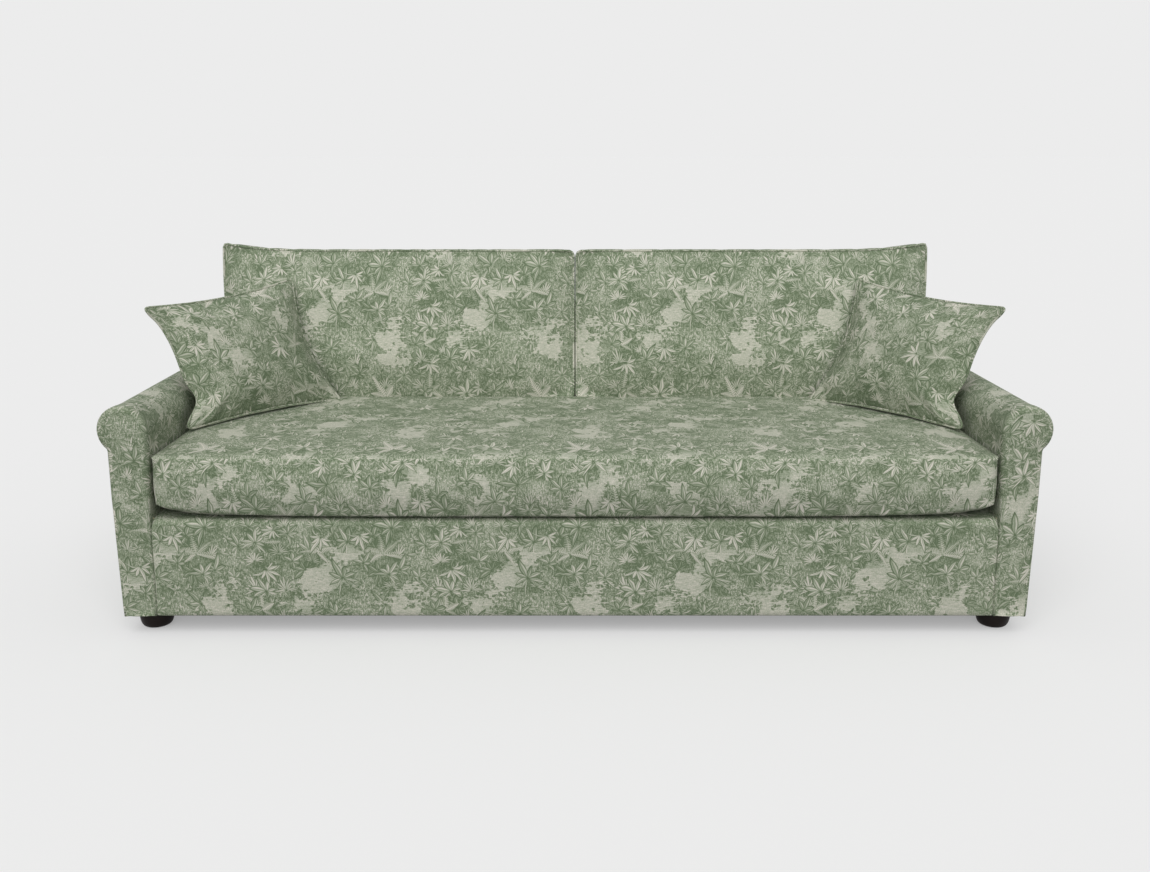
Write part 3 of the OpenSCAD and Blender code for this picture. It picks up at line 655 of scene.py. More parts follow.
    def cleared(self, shader: Shader, marks: Marks, under: Signal) -> Signal:
        """Opens the clearings, bare cloth with ragged edges, and scatters small leaves round them.

        Args:
            shader: The material being written.
            marks: Places and noises.
            under: Tone so far.

        Returns:
            The new tone.
        """
        x, y = marks.where
        openness = self.clearing(
            x + marks.swing.centred(0.15) + marks.fine.centred(0.03), y + marks.broad.centred(0.13)
        )
        ragged = openness + marks.fine.centred(1.4) + marks.broad.centred(1.2) + marks.stroke.centred(1.4)
        bare = ragged.above(self.clear_at - 0.12, self.clear_at + 0.08)
        cloth = marks.fine.centred(0.3) + marks.stroke.centred(0.5) + marks.stipple.centred(0.15) + 0.78
        tone = under.towards(cloth, bare)
        clump = self.spot(shader, marks.where, 31, 8.0, 0.7, (-3.14, 3.14))
        speck = self.blade(clump.x / 0.8 + 0.5, clump.y / 0.8, 0.8, 0.7, 0.08, 0.10)
        outer = openness.above(self.clear_at - 0.65, self.clear_at - 0.35)
        inner = openness.above(self.clear_at + 0.35, self.clear_at)
        return self.laid_over(tone, speck, outer * inner * marks.broad.above(0.44, 0.48) * 0.9)

    def build(self) -> bpy.types.Material:
        """Writes the material."""
        shader = Shader(Slot.LINEN.value)
        u, v, _ = shader.cloth()
        marks = self.marks(shader, u, v)
        tone = self.ground(shader, marks)
        for plant in self.behind:
            tone = self.planted(shader, marks, tone, plant)
        tone = self.cleared(shader, marks, tone)
        for plant in self.before:
            tone = self.planted(shader, marks, tone, plant)

        warp, weft = ((place / self.thread * math.tau).math("SINE") for place in (u, v))
        slubs = (shader.noise(shader.vector(*place), 900.0, 2.0) for place in ((u * 0.12, v), (u, v * 0.12)))
        slub = sum(slubs) - 1.0
        tone = tone + slub * 0.34 + warp * weft * 0.03
        height = warp * weft * 0.25 + slub * 0.6 + 0.5
        colour = shader.colour(tone, self.stops)
        return shader.finish(colour, 0.92, height, 0.5, 0.0005, sheen_weight=0.02, sheen_roughness=0.5)


@dataclass(frozen=True)
class PlainCloth:
    """A plain woven cloth on object coordinates."""

    slot: Slot
    dark: Shade
    light: Shade
    thread: float

    def build(self) -> bpy.types.Material:
        """Writes the material."""
        shader = Shader(self.slot.value)
        x, y, z = shader.place()
        u, v = x + z, y + z
        warp, weft = ((place / self.thread * math.tau).math("SINE") for place in (u, v))
        weave = warp * weft
        slub = shader.noise(shader.vector(u, v * 0.2), 300.0, 2.0)
        tone = weave * 0.16 + slub.centred(1.2) + 0.5
        colour = shader.colour(tone, ((0.0, self.dark), (1.0, self.light)))
        return shader.finish(colour, 0.95, weave * 0.3 + slub, 0.4, 0.0004)


@dataclass(frozen=True)
class Wood:
    """Timber with its grain along one axis."""

    slot: Slot
    dark: Shade
    light: Shade
    along: int
    rough: float
    coat: float = 0.0
    gloss: float = 0.5

    def build(self) -> bpy.types.Material:
        """Writes the material."""
        shader = Shader(self.slot.value)
        place = list(shader.place())
        place[self.along] = place[self.along] * 0.06
        where = shader.vector(*place)
        rings = shader.noise(where, 60.0, 4.0, 0.6)
        pores = shader.noise(where, 700.0, 2.0)
        tone = rings * 0.8 + pores.centred(0.5) + 0.1
        colour = shader.colour(tone, ((0.15, self.dark), (0.85, self.light)))
        sheen = {"coat_weight": self.coat, "coat_roughness": 0.25, "specular_ior_level": self.gloss}
        return shader.finish(colour, self.rough, pores, 0.25, 0.0004, **sheen)


@dataclass(frozen=True)
class Foam:
    """Cut polyurethane foam."""

    slot: Slot = Slot.FOAM

    def build(self) -> bpy.types.Material:
        """Writes the material."""
        shader = Shader(self.slot.value)
        where = shader.vector(*shader.place())
        cells = shader.noise(where, 420.0, 3.0, 0.7)
        stain = shader.noise(where, 6.0, 2.0)
        colour = shader.colour(cells * 0.5 + stain * 0.5, ((0.3, (206, 190, 150)), (0.7, (232, 222, 190))))
        return shader.finish(colour, 0.95, cells, 0.6, 0.001)


@dataclass(frozen=True)
class Metal:
    """Drawn or stamped steel with fine scratches."""

    slot: Slot
    shade: Shade
    rough: float
    metallic: float = 1.0

    def build(self) -> bpy.types.Material:
        """Writes the material."""
        shader = Shader(self.slot.value)
        x, y, z = shader.place()
        scratches = shader.noise(shader.vector(x * 0.1, y, z), 800.0, 3.0)
        stain = shader.noise(shader.vector(x, y, z), 30.0, 3.0)
        worn = tuple(int(c * 0.75) for c in self.shade)
        colour = shader.colour(stain * 0.7 + scratches * 0.3, ((0.3, worn), (0.7, self.shade)))
        return shader.finish(colour, self.rough, scratches, 0.15, 0.0003, metallic=self.metallic)


class Finishes:
    """The materials of the sofa, one for each slot."""

    def __init__(self) -> None:
        """Writes every material."""
        self.of: dict[Slot, bpy.types.Material] = {
            Slot.LINEN: PrintedLinen().build(),
            Slot.TIMBER: Wood(Slot.TIMBER, (176, 142, 98), (214, 184, 138), 0, 0.6).build(),
            Slot.BOARD: Wood(Slot.BOARD, (132, 100, 66), (160, 126, 88), 1, 0.85).build(),
            Slot.FOAM: Foam().build(),
            Slot.STEEL: Metal(Slot.STEEL, (176, 178, 182), 0.35).build(),
            Slot.FOOT: Wood(Slot.FOOT, (13, 8, 6), (26, 17, 13), 2, 0.5, 0.03, 0.14).build(),
            Slot.BLACK_CLOTH: PlainCloth(Slot.BLACK_CLOTH, (22, 22, 23), (44, 44, 45), 0.0016).build(),
            Slot.PLATFORM: PlainCloth(Slot.PLATFORM, (176, 172, 158), (214, 210, 196), 0.0012).build(),
            Slot.ZIP: PlainCloth(Slot.ZIP, (112, 122, 100), (150, 156, 134), 0.0010).build(),
            Slot.GLIDE: Metal(Slot.GLIDE, (46, 44, 42), 0.5, 0.0).build(),
        }

    def dress(self, piece: bpy.types.Object, slot: Slot) -> None:
        """Gives a new piece its finish and names its slot."""
        piece.data.materials.clear()
        piece.data.materials.append(self.of[slot])

    def dress_nodes(self) -> None:
        """Gives every carried-over CAD node the finish of the slot that the record names."""
        for part in frame["record"]["subparts"]:
            node = frame["nodes"][part["node"]]
            for entry in node.material_slots:
                entry.material = self.of[Slot(part["material_slot"])]


# ---------------------------------------------------------------- cloth meshes


class Sewing:
    """Panels of cloth, each a grid of points, sewn along their edges into one mesh."""

    def __init__(self) -> None:
        """Starts with no panels."""
        self.points: list[np.ndarray] = []
        self.cloth: list[np.ndarray] = []
        self.quads: list[np.ndarray] = []
        self.count = 0

    def panel(self, points: np.ndarray, cloth: np.ndarray, turned: bool = False) -> None:
        """Adds a panel.

        Args:
            points: Grid of places, rows by columns by 3.
            cloth: Where each place lies on the flat cloth, rows by columns by 2.
            turned: Whether the other side of the grid faces out.
        """
        rows, columns = points.shape[:2]
        index = self.count + np.arange(rows * columns).reshape(rows, columns)
        a, b, c, d = index[:-1, :-1], index[:-1, 1:], index[1:, 1:], index[1:, :-1]
        order = (a, d, c, b) if turned else (a, b, c, d)
        self.quads.append(np.stack(order, -1).reshape(-1, 4))
        self.points.append(points.reshape(-1, 3))
        self.cloth.append(cloth.reshape(-1, 2))
        self.count += rows * columns

    def build(self, name: str) -> bpy.types.Object:
        """Makes the mesh, with points that meet merged.

        Args:
            name: Name of the piece.

        Returns:
            The piece, with the cloth's coordinates as its UV map.
        """
        points, cloth = np.concatenate(self.points), np.concatenate(self.cloth)
        quads = np.concatenate(self.quads)
        mesh = bpy.data.meshes.new(name)
        mesh.from_pydata(points.tolist(), [], quads.tolist())
        layer = mesh.uv_layers.new(name=CLOTH_MAP)
        corners = np.zeros(len(mesh.loops), np.int32)
        mesh.loops.foreach_get("vertex_index", corners)
        layer.data.foreach_set("uv", cloth[corners].astype(np.float32).ravel())
        piece = bpy.data.objects.new(name, mesh)
        bpy.context.scene.collection.objects.link(piece)
        choose(piece)
        bpy.ops.object.mode_set(mode="EDIT")
        bpy.ops.mesh.select_all(action="SELECT")
        bpy.ops.mesh.remove_doubles(threshold=0.00002)
        bpy.ops.object.mode_set(mode="OBJECT")
        smooth(piece)
        return piece


def choose(piece: bpy.types.Object) -> None:
    """Makes a piece the only one selected, and active."""
    bpy.ops.object.select_all(action="DESELECT")
    piece.select_set(True)
    bpy.context.view_layer.objects.active = piece


def smooth(piece: bpy.types.Object) -> None:
    """Shades a piece smooth."""
    piece.data.polygons.foreach_set("use_smooth", np.ones(len(piece.data.polygons), bool))


def places(piece: bpy.types.Object) -> np.ndarray:
    """The points of a piece, one row each."""
    co = np.zeros(len(piece.data.vertices) * 3, np.float32)
    piece.data.vertices.foreach_get("co", co)
    return co.reshape(-1, 3).astype(float)


def set_places(piece: bpy.types.Object, points: np.ndarray) -> None:
    """Moves the points of a piece."""
    piece.data.vertices.foreach_set("co", points.astype(np.float32).ravel())
    piece.data.update()


def apply(piece: bpy.types.Object, kind: str, **settings: float | str | bool) -> None:
    """Adds a modifier and applies it.

    Args:
        piece: The piece.
        kind: Blender's name of the modifier.
        settings: Its settings.
    """
    choose(piece)
    modifier = piece.modifiers.new(kind.title(), kind)
    for name, value in settings.items():
        setattr(modifier, name, value)
    bpy.ops.object.modifier_apply(modifier=modifier.name)


def subdivided(piece: bpy.types.Object, levels: int = 1) -> None:
    """Refines a soft piece and keeps it smooth."""
    apply(piece, "SUBSURF", levels=levels, render_levels=levels)
    smooth(piece)


def mirrored(points: np.ndarray, side: Side) -> np.ndarray:
    """Places of a right-hand piece moved to the given side."""
    return points * np.array([side.value, 1.0, 1.0])


def eased(at: np.ndarray) -> np.ndarray:
    """A quarter sine from 0 to 1 that stays at 1."""
    return np.sin(np.pi / 2 * np.clip(at, 0.0, 1.0))


def even(points: int, tight: float = 0.0) -> np.ndarray:
    """Places from -1 to 1, closer together near the ends.

    Args:
        points: How many.
        tight: From 0, evenly spread, to 1, fully crowded to the ends.

    Returns:
        The places.
    """
    t = np.linspace(-1.0, 1.0, points)
    return (1 - tight) * t + tight * np.sin(np.pi / 2 * t)


def stacked(*parts: np.ndarray) -> np.ndarray:
    """Places from their coordinates, each stretched to the shape of the others."""
    return np.stack(np.broadcast_arrays(*parts), -1)


def lengths(line: np.ndarray, start: float = 0.0) -> np.ndarray:
    """How far along a line of points each of them lies.

    Args:
        line: The points.
        start: What the first of them counts as.

    Returns:
        The lengths.
    """
    steps = np.linalg.norm(np.diff(line, axis=0), axis=1)
    return np.concatenate([[0.0], np.cumsum(steps)]) + start


def sides_of(x: np.ndarray, y: np.ndarray) -> list[tuple[np.ndarray, np.ndarray]]:
    """The four sides of a grid, one after the other around it."""
    return [(x[0], y[0]), (x[:, -1], y[:, -1]), (x[-1, ::-1], y[-1, ::-1]), (x[::-1, 0], y[::-1, 0])]


def edge_of(x: np.ndarray, y: np.ndarray) -> tuple[np.ndarray, np.ndarray]:
    """The places round the edge of a grid, once around."""
    ways = zip(*((along[:-1], up[:-1]) for along, up in sides_of(x, y)))
    round_x, round_y = (np.concatenate(way) for way in ways)
    return round_x, round_y


def rounded(
    x: np.ndarray, y: np.ndarray, half_x: float, half_y: float, r: np.ndarray | float
) -> tuple[np.ndarray, np.ndarray]:
    """Rounds the corners of a rectangle's grid.

    Args:
        x: Places across.
        y: Places along.
        half_x: Half the rectangle's width.
        half_y: Half its length.
        r: Radius of its corners, one for all or one for each place.

    Returns:
        The moved places.
    """
    cx, cy = np.maximum(0.0, np.abs(x) - half_x + r), np.maximum(0.0, np.abs(y) - half_y + r)
    nx = cx * np.sqrt(np.maximum(0.0, 1 - cy**2 / (2 * r * r)))
    ny = cy * np.sqrt(np.maximum(0.0, 1 - cx**2 / (2 * r * r)))
    return x - np.sign(x) * (cx - nx), y - np.sign(y) * (cy - ny)


def tube(name: str, path: np.ndarray, radius: float, sides: int = 8) -> bpy.types.Object:
    """A closed round cord of cloth along a closed path.

    Args:
        name: Name of the piece.
        path: Points down its middle.
        radius: Its radius.
        sides: Points round it.

    Returns:
        The piece.
    """
    ahead = np.roll(path, -1, 0) - np.roll(path, 1, 0)
    ahead /= np.linalg.norm(ahead, axis=1, keepdims=True)
    middle = path.mean(0)
    out = path - middle
    out -= (out * ahead).sum(1, keepdims=True) * ahead
    out /= np.linalg.norm(out, axis=1, keepdims=True)
    third = np.cross(ahead, out)
    turn = np.linspace(0, 2 * np.pi, sides + 1)
    rings = path[:, None] + radius * (
        np.cos(turn)[None, :, None] * out[:, None] + np.sin(turn)[None, :, None] * third[:, None]
    )
    rings = np.concatenate([rings, rings[:1]])
    sewing = Sewing()
    sewing.panel(rings, stacked(lengths(rings.mean(1))[:, None], radius * turn[None, :]))
    piece = sewing.build(name)
    choose(piece)
    bpy.ops.object.mode_set(mode="EDIT")
    bpy.ops.mesh.select_all(action="SELECT")
    bpy.ops.mesh.normals_make_consistent(inside=False)
    bpy.ops.object.mode_set(mode="OBJECT")
    return piece


def nearest(piece: bpy.types.Object, path: np.ndarray) -> np.ndarray:
    """Finds the piece's points that lie nearest to the points of a path.

    Args:
        piece: The piece.
        path: Points, in order.

    Returns:
        Indices of the piece's points, in the path's order, none twice in a row.
    """
    tree = KDTree(len(piece.data.vertices))
    for i, vertex in enumerate(piece.data.vertices):
        tree.insert(vertex.co, i)
    tree.balance()
    found = [tree.find(Vector(p))[1] for p in path]
    return np.array([i for k, i in enumerate(found) if i != found[k - 1]])


def creased(piece: bpy.types.Object, seams: Sequence[np.ndarray], sharpness: float) -> None:
    """Keeps the folds along seams when the piece is refined.

    Args:
        piece: The piece.
        seams: Points along each seam.
        sharpness: From 0, round, to 1, sharp.
    """
    sewn = np.zeros(len(piece.data.vertices), bool)
    for seam in seams:
        sewn[seam] = True
    ends = np.zeros(len(piece.data.edges) * 2, np.int32)
    piece.data.edges.foreach_get("vertices", ends)
    held = sewn[ends.reshape(-1, 2)].all(1)
    layer = piece.data.attributes.new("crease_edge", "FLOAT", "EDGE")
    layer.data.foreach_set("value", held.astype(np.float32) * sharpness)


@dataclass(frozen=True)
class Filling:
    """How a cushion is filled.

    Attributes:
        pressure: Pressure inside.
        stiffness: How hard its cloth is to stretch.
        bending: How hard its cloth is to bend.
        mass: Mass of each of its points, in kilograms.
        slack: How much longer its cloth is than the flat pattern, as a share.
        cap: How far a point may move, in metres.
        frames: Steps of the simulation.
        quality: Substeps of each.
    """

    pressure: float = 3.5
    stiffness: float = 18.0
    bending: float = 0.6
    mass: float = 0.4
    slack: float = 0.015
    cap: float = 0.009
    frames: int = 20
    quality: int = 6


def inflate(
    piece: bpy.types.Object,
    seams: Sequence[np.ndarray],
    filling: Filling,
    room: Callable[[np.ndarray, np.ndarray], np.ndarray],
) -> None:
    """Fills a cushion, by a cloth simulation whose result stays on the mesh. Its seams stay.

    Args:
        piece: The cushion, a closed mesh.
        seams: Points along each seam.
        filling: How it is filled.
        room: Takes the places before and after, and returns the places that the cushion's
            neighbours leave it.
    """
    before = places(piece)
    choose(piece)
    group = piece.vertex_groups.new(name="seams")
    for seam in seams:
        group.add([int(i) for i in seam], 1.0, "REPLACE")
    modifier = piece.modifiers.new("Cloth", "CLOTH")
    cloth = modifier.settings
    cloth.quality = filling.quality
    cloth.mass = filling.mass
    cloth.tension_stiffness = filling.stiffness
    cloth.compression_stiffness = filling.stiffness
    cloth.shear_stiffness = filling.stiffness / 2
    cloth.bending_stiffness = filling.bending
    cloth.use_pressure = True
    cloth.uniform_pressure_force = filling.pressure
    cloth.shrink_min = -filling.slack
    cloth.vertex_group_mass = group.name
    cloth.effector_weights.gravity = 0.0
    scene = bpy.context.scene
    scene.frame_start, scene.frame_end = 1, filling.frames
    for number in range(1, filling.frames + 1):
        scene.frame_set(number)
    solved = piece.evaluated_get(bpy.context.evaluated_depsgraph_get()).to_mesh()
    after = np.zeros(len(solved.vertices) * 3, np.float32)
    solved.vertices.foreach_get("co", after)
    piece.modifiers.clear()
    piece.vertex_groups.clear()
    scene.frame_set(1)
    moved = after.reshape(-1, 3).astype(float) - before
    far = np.linalg.norm(moved, axis=1, keepdims=True)
    moved *= np.tanh(far / filling.cap) * filling.cap / np.maximum(far, 1e-9)
    set_places(piece, room(before, before + moved))


# ---------------------------------------------------------------- the sofa


@dataclass(frozen=True)
class Body:
    """Faces of the sofa's body, as the part has them."""

    y_front: float = -0.485
    y_back: float = 0.505
    x_roll: float = 1.1375
    x_in: float = 1.075
    x_deck: float = 1.088
    x_out: float = 1.178
    roll_r: float = 0.0625
    roll_z: float = 0.550
    crease_z: float = 0.5034
    splay: float = 0.005
    foot: float = 0.054
    deck: float = 0.318
    top: float = 0.750
    back_foot: float = 0.340
    lean: float = math.radians(8)
    skin: float = 0.002

    @property
    def arm_slope(self) -> float:
        """How far the inside arm leans out over the deck, for each metre up."""
        return (self.x_in - self.x_deck) / (self.roll_z - self.deck)

    def inside_back(self, z: np.ndarray | float) -> np.ndarray | float:
        """Where the front of the back stands at a height."""
        return self.back_foot + (z - self.deck) * math.tan(self.lean)

    def base_half(self, z: np.ndarray) -> np.ndarray:
        """Half the width between the arms at a height under the deck, or at the deck over it."""
        return self.x_deck + self.splay * np.clip((self.deck - z) / (self.deck - self.foot), 0, 1)


@dataclass
class Piece:
    """A sub-assembly of the sofa."""

    finishes: Finishes
    body: Body = field(default_factory=Body)
    made: list[bpy.types.Object] = field(default_factory=list)

    def dressed(
        self, piece: bpy.types.Object, rides_on: str, slot: Slot, replaced: Sequence[str] = ()
    ) -> bpy.types.Object:
        """Gives a piece its finish and its body, and hides the CAD nodes that it stands for.

        Args:
            piece: The piece.
            rides_on: CAD body that it moves with.
            slot: Its finish.
            replaced: CAD nodes that it stands for.

        Returns:
            The piece.
        """
        self.finishes.dress(piece, slot)
        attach(piece, rides_on)
        if replaced:
            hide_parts(*replaced)
        self.made.append(piece)
        return piece

    def walled(self, piece: bpy.types.Object) -> None:
        """Gives a skin the thickness of its cloth, inwards."""
        apply(piece, "SOLIDIFY", thickness=self.body.skin, offset=-1.0, use_even_offset=False)
        smooth(piece)


@dataclass
class Arm(Piece):
    """One arm: a cover that runs over its roll and round its front, and its rear facing.

    Attributes:
        side: Which arm it is.
        roll_edge_r: Radius of the front's edge round the roll.
        edge_r: The same down the inner and the outer side.
        rear_r: Radius of the rear's edge.
        neck: How far under the roll's crease the sides start to widen.
        under_deck: How far under the deck the denser points of the sides start.
        turn_under: How far the cloth is turned under the foot.
        tucked: How far the cloth is tucked in behind the border, from the front.
        puff: How far the facing swells in its middle.
        settled: How far the roll has settled between its ends.
        settle_from: How far from an end it starts to settle.
        settle_over: Length over which it settles.
        foot_points: Points up a side to where the denser ones start.
        post_points: Points from there to the neck.
        neck_points: Points from the neck to the roll.
        roll_points: Points over the roll.
        edge_points: Points round the front's edge.
        run_points: Points from the front's edge to the rear's.
    """

    side: Side = Side.RIGHT
    roll_edge_r: float = 0.013
    edge_r: float = 0.006
    rear_r: float = 0.006
    neck: float = 0.006
    under_deck: float = 0.03
    turn_under: float = 0.012
    tucked: float = 0.022
    puff: float = 0.0035
    settled: float = 0.0045
    settle_from: float = 0.025
    settle_over: float = 0.07
    foot_points: int = 12
    post_points: int = 14
    neck_points: int = 6
    roll_points: int = 33
    edge_points: int = 8
    run_points: int = 45

    def outline(self) -> tuple[np.ndarray, np.ndarray, np.ndarray, np.ndarray]:
        """The arm's end, from its inner foot over the roll to its outer foot.

        Returns:
            Points across and up, the directions out of them, the radius of the front's edge at
            each, and the middle of the arm beside each.
        """
        b = self.body
        neck_z = b.crease_z - self.neck
        dense_z = b.deck - self.under_deck
        foot = np.linspace(b.foot, dense_z, self.foot_points)
        post = np.concatenate([foot, np.linspace(dense_z, neck_z, self.post_points)[1:]])
        z = np.concatenate([post, np.linspace(neck_z, b.roll_z, self.neck_points)[1:]])
        x = np.where(z < b.deck, b.base_half(z), b.x_deck + (z - b.deck) * b.arm_slope)
        drop = math.asin((b.roll_z - b.crease_z) / b.roll_r)
        over = np.linspace(np.pi, 0, self.roll_points)[1:]
        angle = np.concatenate([over, np.linspace(0, -drop, self.neck_points)[1:]])
        around = np.stack([np.cos(angle), np.sin(angle)], -1)
        centre = np.array([b.x_roll, b.roll_z])
        outer = stacked(np.float64(b.x_out), post[::-1])
        points = np.concatenate([np.stack([x, z], -1), centre + b.roll_r * around, outer])
        inwards = np.tile([-1.0, b.arm_slope], (len(z), 1)) / math.hypot(1, b.arm_slope)
        out = np.concatenate([inwards, around, np.tile([1.0, 0.0], (len(post), 1))])
        radii = [self.edge_r, self.roll_edge_r]
        inner_edge = np.interp(z, [b.deck - 0.01, b.deck + 0.06], radii)
        outer_edge = np.interp(post[::-1], [neck_z - 0.12, neck_z], radii)
        edge = np.concatenate([inner_edge, np.full(len(angle), self.roll_edge_r), outer_edge])
        spine = np.stack([(x[: len(post)] + b.x_out) / 2, post], -1)
        share = np.linspace(0, 1, self.neck_points)[1:, None]
        neck = spine[-1] * (1 - share) + centre * share
        back = np.concatenate([neck[-2::-1], spine[-1:]])
        middle = np.concatenate([spine, neck, np.tile(centre, (len(over), 1)), back, spine[::-1]])
        return points, out, edge, middle

    def flat_end(self, front: bool) -> tuple[np.ndarray, np.ndarray]:
        """The flat of one end, from its edge to the middle of the arm.

        Args:
            front: Whether it is the front one.

        Returns:
            A grid of places and where they lie on the cloth.
        """
        b = self.body
        points, out, edge, middle = self.outline()
        inset = edge if front else np.full(len(edge), self.rear_r)
        rim = points - out * inset[:, None]
        share = np.linspace(0, 1, 7)
        flat = rim[None] * (1 - share[:, None, None]) + middle[None] * share[:, None, None]
        swell = (1 - np.cos(np.pi * np.minimum(1, share * 1.4))) / 2 * (self.puff if front else 0.0005)
        depth = (b.y_front - swell) if front else (b.y_back + swell)
        y = np.broadcast_to(depth[:, None], flat.shape[:2])
        grid = np.stack([flat[..., 0], y, flat[..., 1]], -1)
        return grid, np.stack([grid[..., 0] * self.side.value + 0.09, grid[..., 2] + 0.04], -1)

    def under(self, sewing: Sewing, grid: np.ndarray, front: bool) -> None:
        """Turns the foot of an end under the arm.

        Args:
            sewing: The piece.
            grid: The end's grid of places.
            front: Whether it is the front one.
        """
        line = np.concatenate([grid[:, 0], grid[::-1, -1]])
        turned = line + np.array([0.0, self.turn_under if front else -self.turn_under, HEM_UP])
        strip = np.stack([turned, line])
        right = self.side is Side.RIGHT
        sewing.panel(mirrored(strip, self.side), strip[..., :2] + 0.2, right != front)

    def cover(self) -> None:
        """The cover round the front, over the inside arm and the roll, and down the outside."""
        b = self.body
        right = self.side is Side.RIGHT
        points, out, edge, _ = self.outline()
        turn = np.linspace(0, np.pi / 2, self.edge_points)[:, None]
        share = np.linspace(0, 1, self.run_points)[1:, None]
        run = edge + (b.y_back - self.rear_r - b.y_front - edge) * share
        inset = np.concatenate([edge * (1 - np.sin(turn)), np.zeros(run.shape)])
        depth = b.y_front + np.concatenate([edge * (1 - np.cos(turn)), run])
        turn = np.linspace(0, np.pi / 2, 5)[1:, None]
        inset = np.concatenate([inset, self.rear_r * (1 - np.cos(turn)) + 0 * edge])
        depth = np.concatenate([depth, b.y_back - self.rear_r * (1 - np.sin(turn)) + 0 * edge])
        ring = points[None] - out[None] * inset[..., None]
        from_end = np.minimum(depth - b.y_front, b.y_back - depth)
        flattened = eased((from_end - self.settle_from) / self.settle_over)
        height = np.clip((ring[..., 1] - b.crease_z) / (b.roll_z - b.crease_z), 0, 1)
        grid = np.stack([ring[..., 0], depth, ring[..., 1] - self.settled * flattened * height], -1)
        on_roll = self.foot_points + self.post_points + self.roll_points // 2 - 2
        cloth = stacked(lengths(grid[:, on_roll], 0.1)[:, None], lengths(points, 0.11)[None, :])
        foot = self.foot_points - 1
        crease = len(points) - self.foot_points - self.post_points + 1
        sewing = Sewing()
        over = slice(foot, crease + 1)
        sewing.panel(mirrored(grid[:, over], self.side), cloth[:, over], right)
        outside = np.stack([-grid[:, crease:, 1] * self.side.value, grid[:, crease:, 2] + 0.2], -1)
        sewing.panel(mirrored(grid[:, crease:], self.side), outside, right)
        inner = grid[: self.edge_points + 1, : foot + 1].copy()
        inner[-1, :, 1] = b.y_front + self.tucked
        sewing.panel(mirrored(inner, self.side), cloth[: self.edge_points + 1, : foot + 1], right)
        bottom = grid[:, -1]
        strip = np.stack([bottom, bottom + np.array([-self.turn_under, 0.0, HEM_UP])], 1)
        sewing.panel(mirrored(strip, self.side), strip[..., :2], right)
        flat, flat_cloth = self.flat_end(True)
        sewing.panel(mirrored(flat, self.side), flat_cloth, not right)
        self.under(sewing, flat, True)
        piece = sewing.build(f"{self.side.word}_arm_linen")
        self.walled(piece)
        parts = ["arm_cover", "front_facing", "outside_arm", "arm_foam"]
        stands_for = [f"{self.side.word}_{part}" for part in parts] + (["facing_pads"] if right else [])
        self.dressed(piece, "sofa", Slot.LINEN, stands_for)

    def rear(self) -> None:
        """The flat panel on the rear end."""
        flat, cloth = self.flat_end(False)
        sewing = Sewing()
        sewing.panel(mirrored(flat, self.side), cloth, self.side is Side.RIGHT)
        self.under(sewing, flat, False)
        piece = sewing.build(f"{self.side.word}_rear_facing_linen")
        self.walled(piece)
        self.dressed(piece, "sofa", Slot.LINEN, [f"{self.side.word}_rear_facing"])

    def build(self) -> None:
        """Builds the arm's pieces."""
        self.cover()
        self.rear()


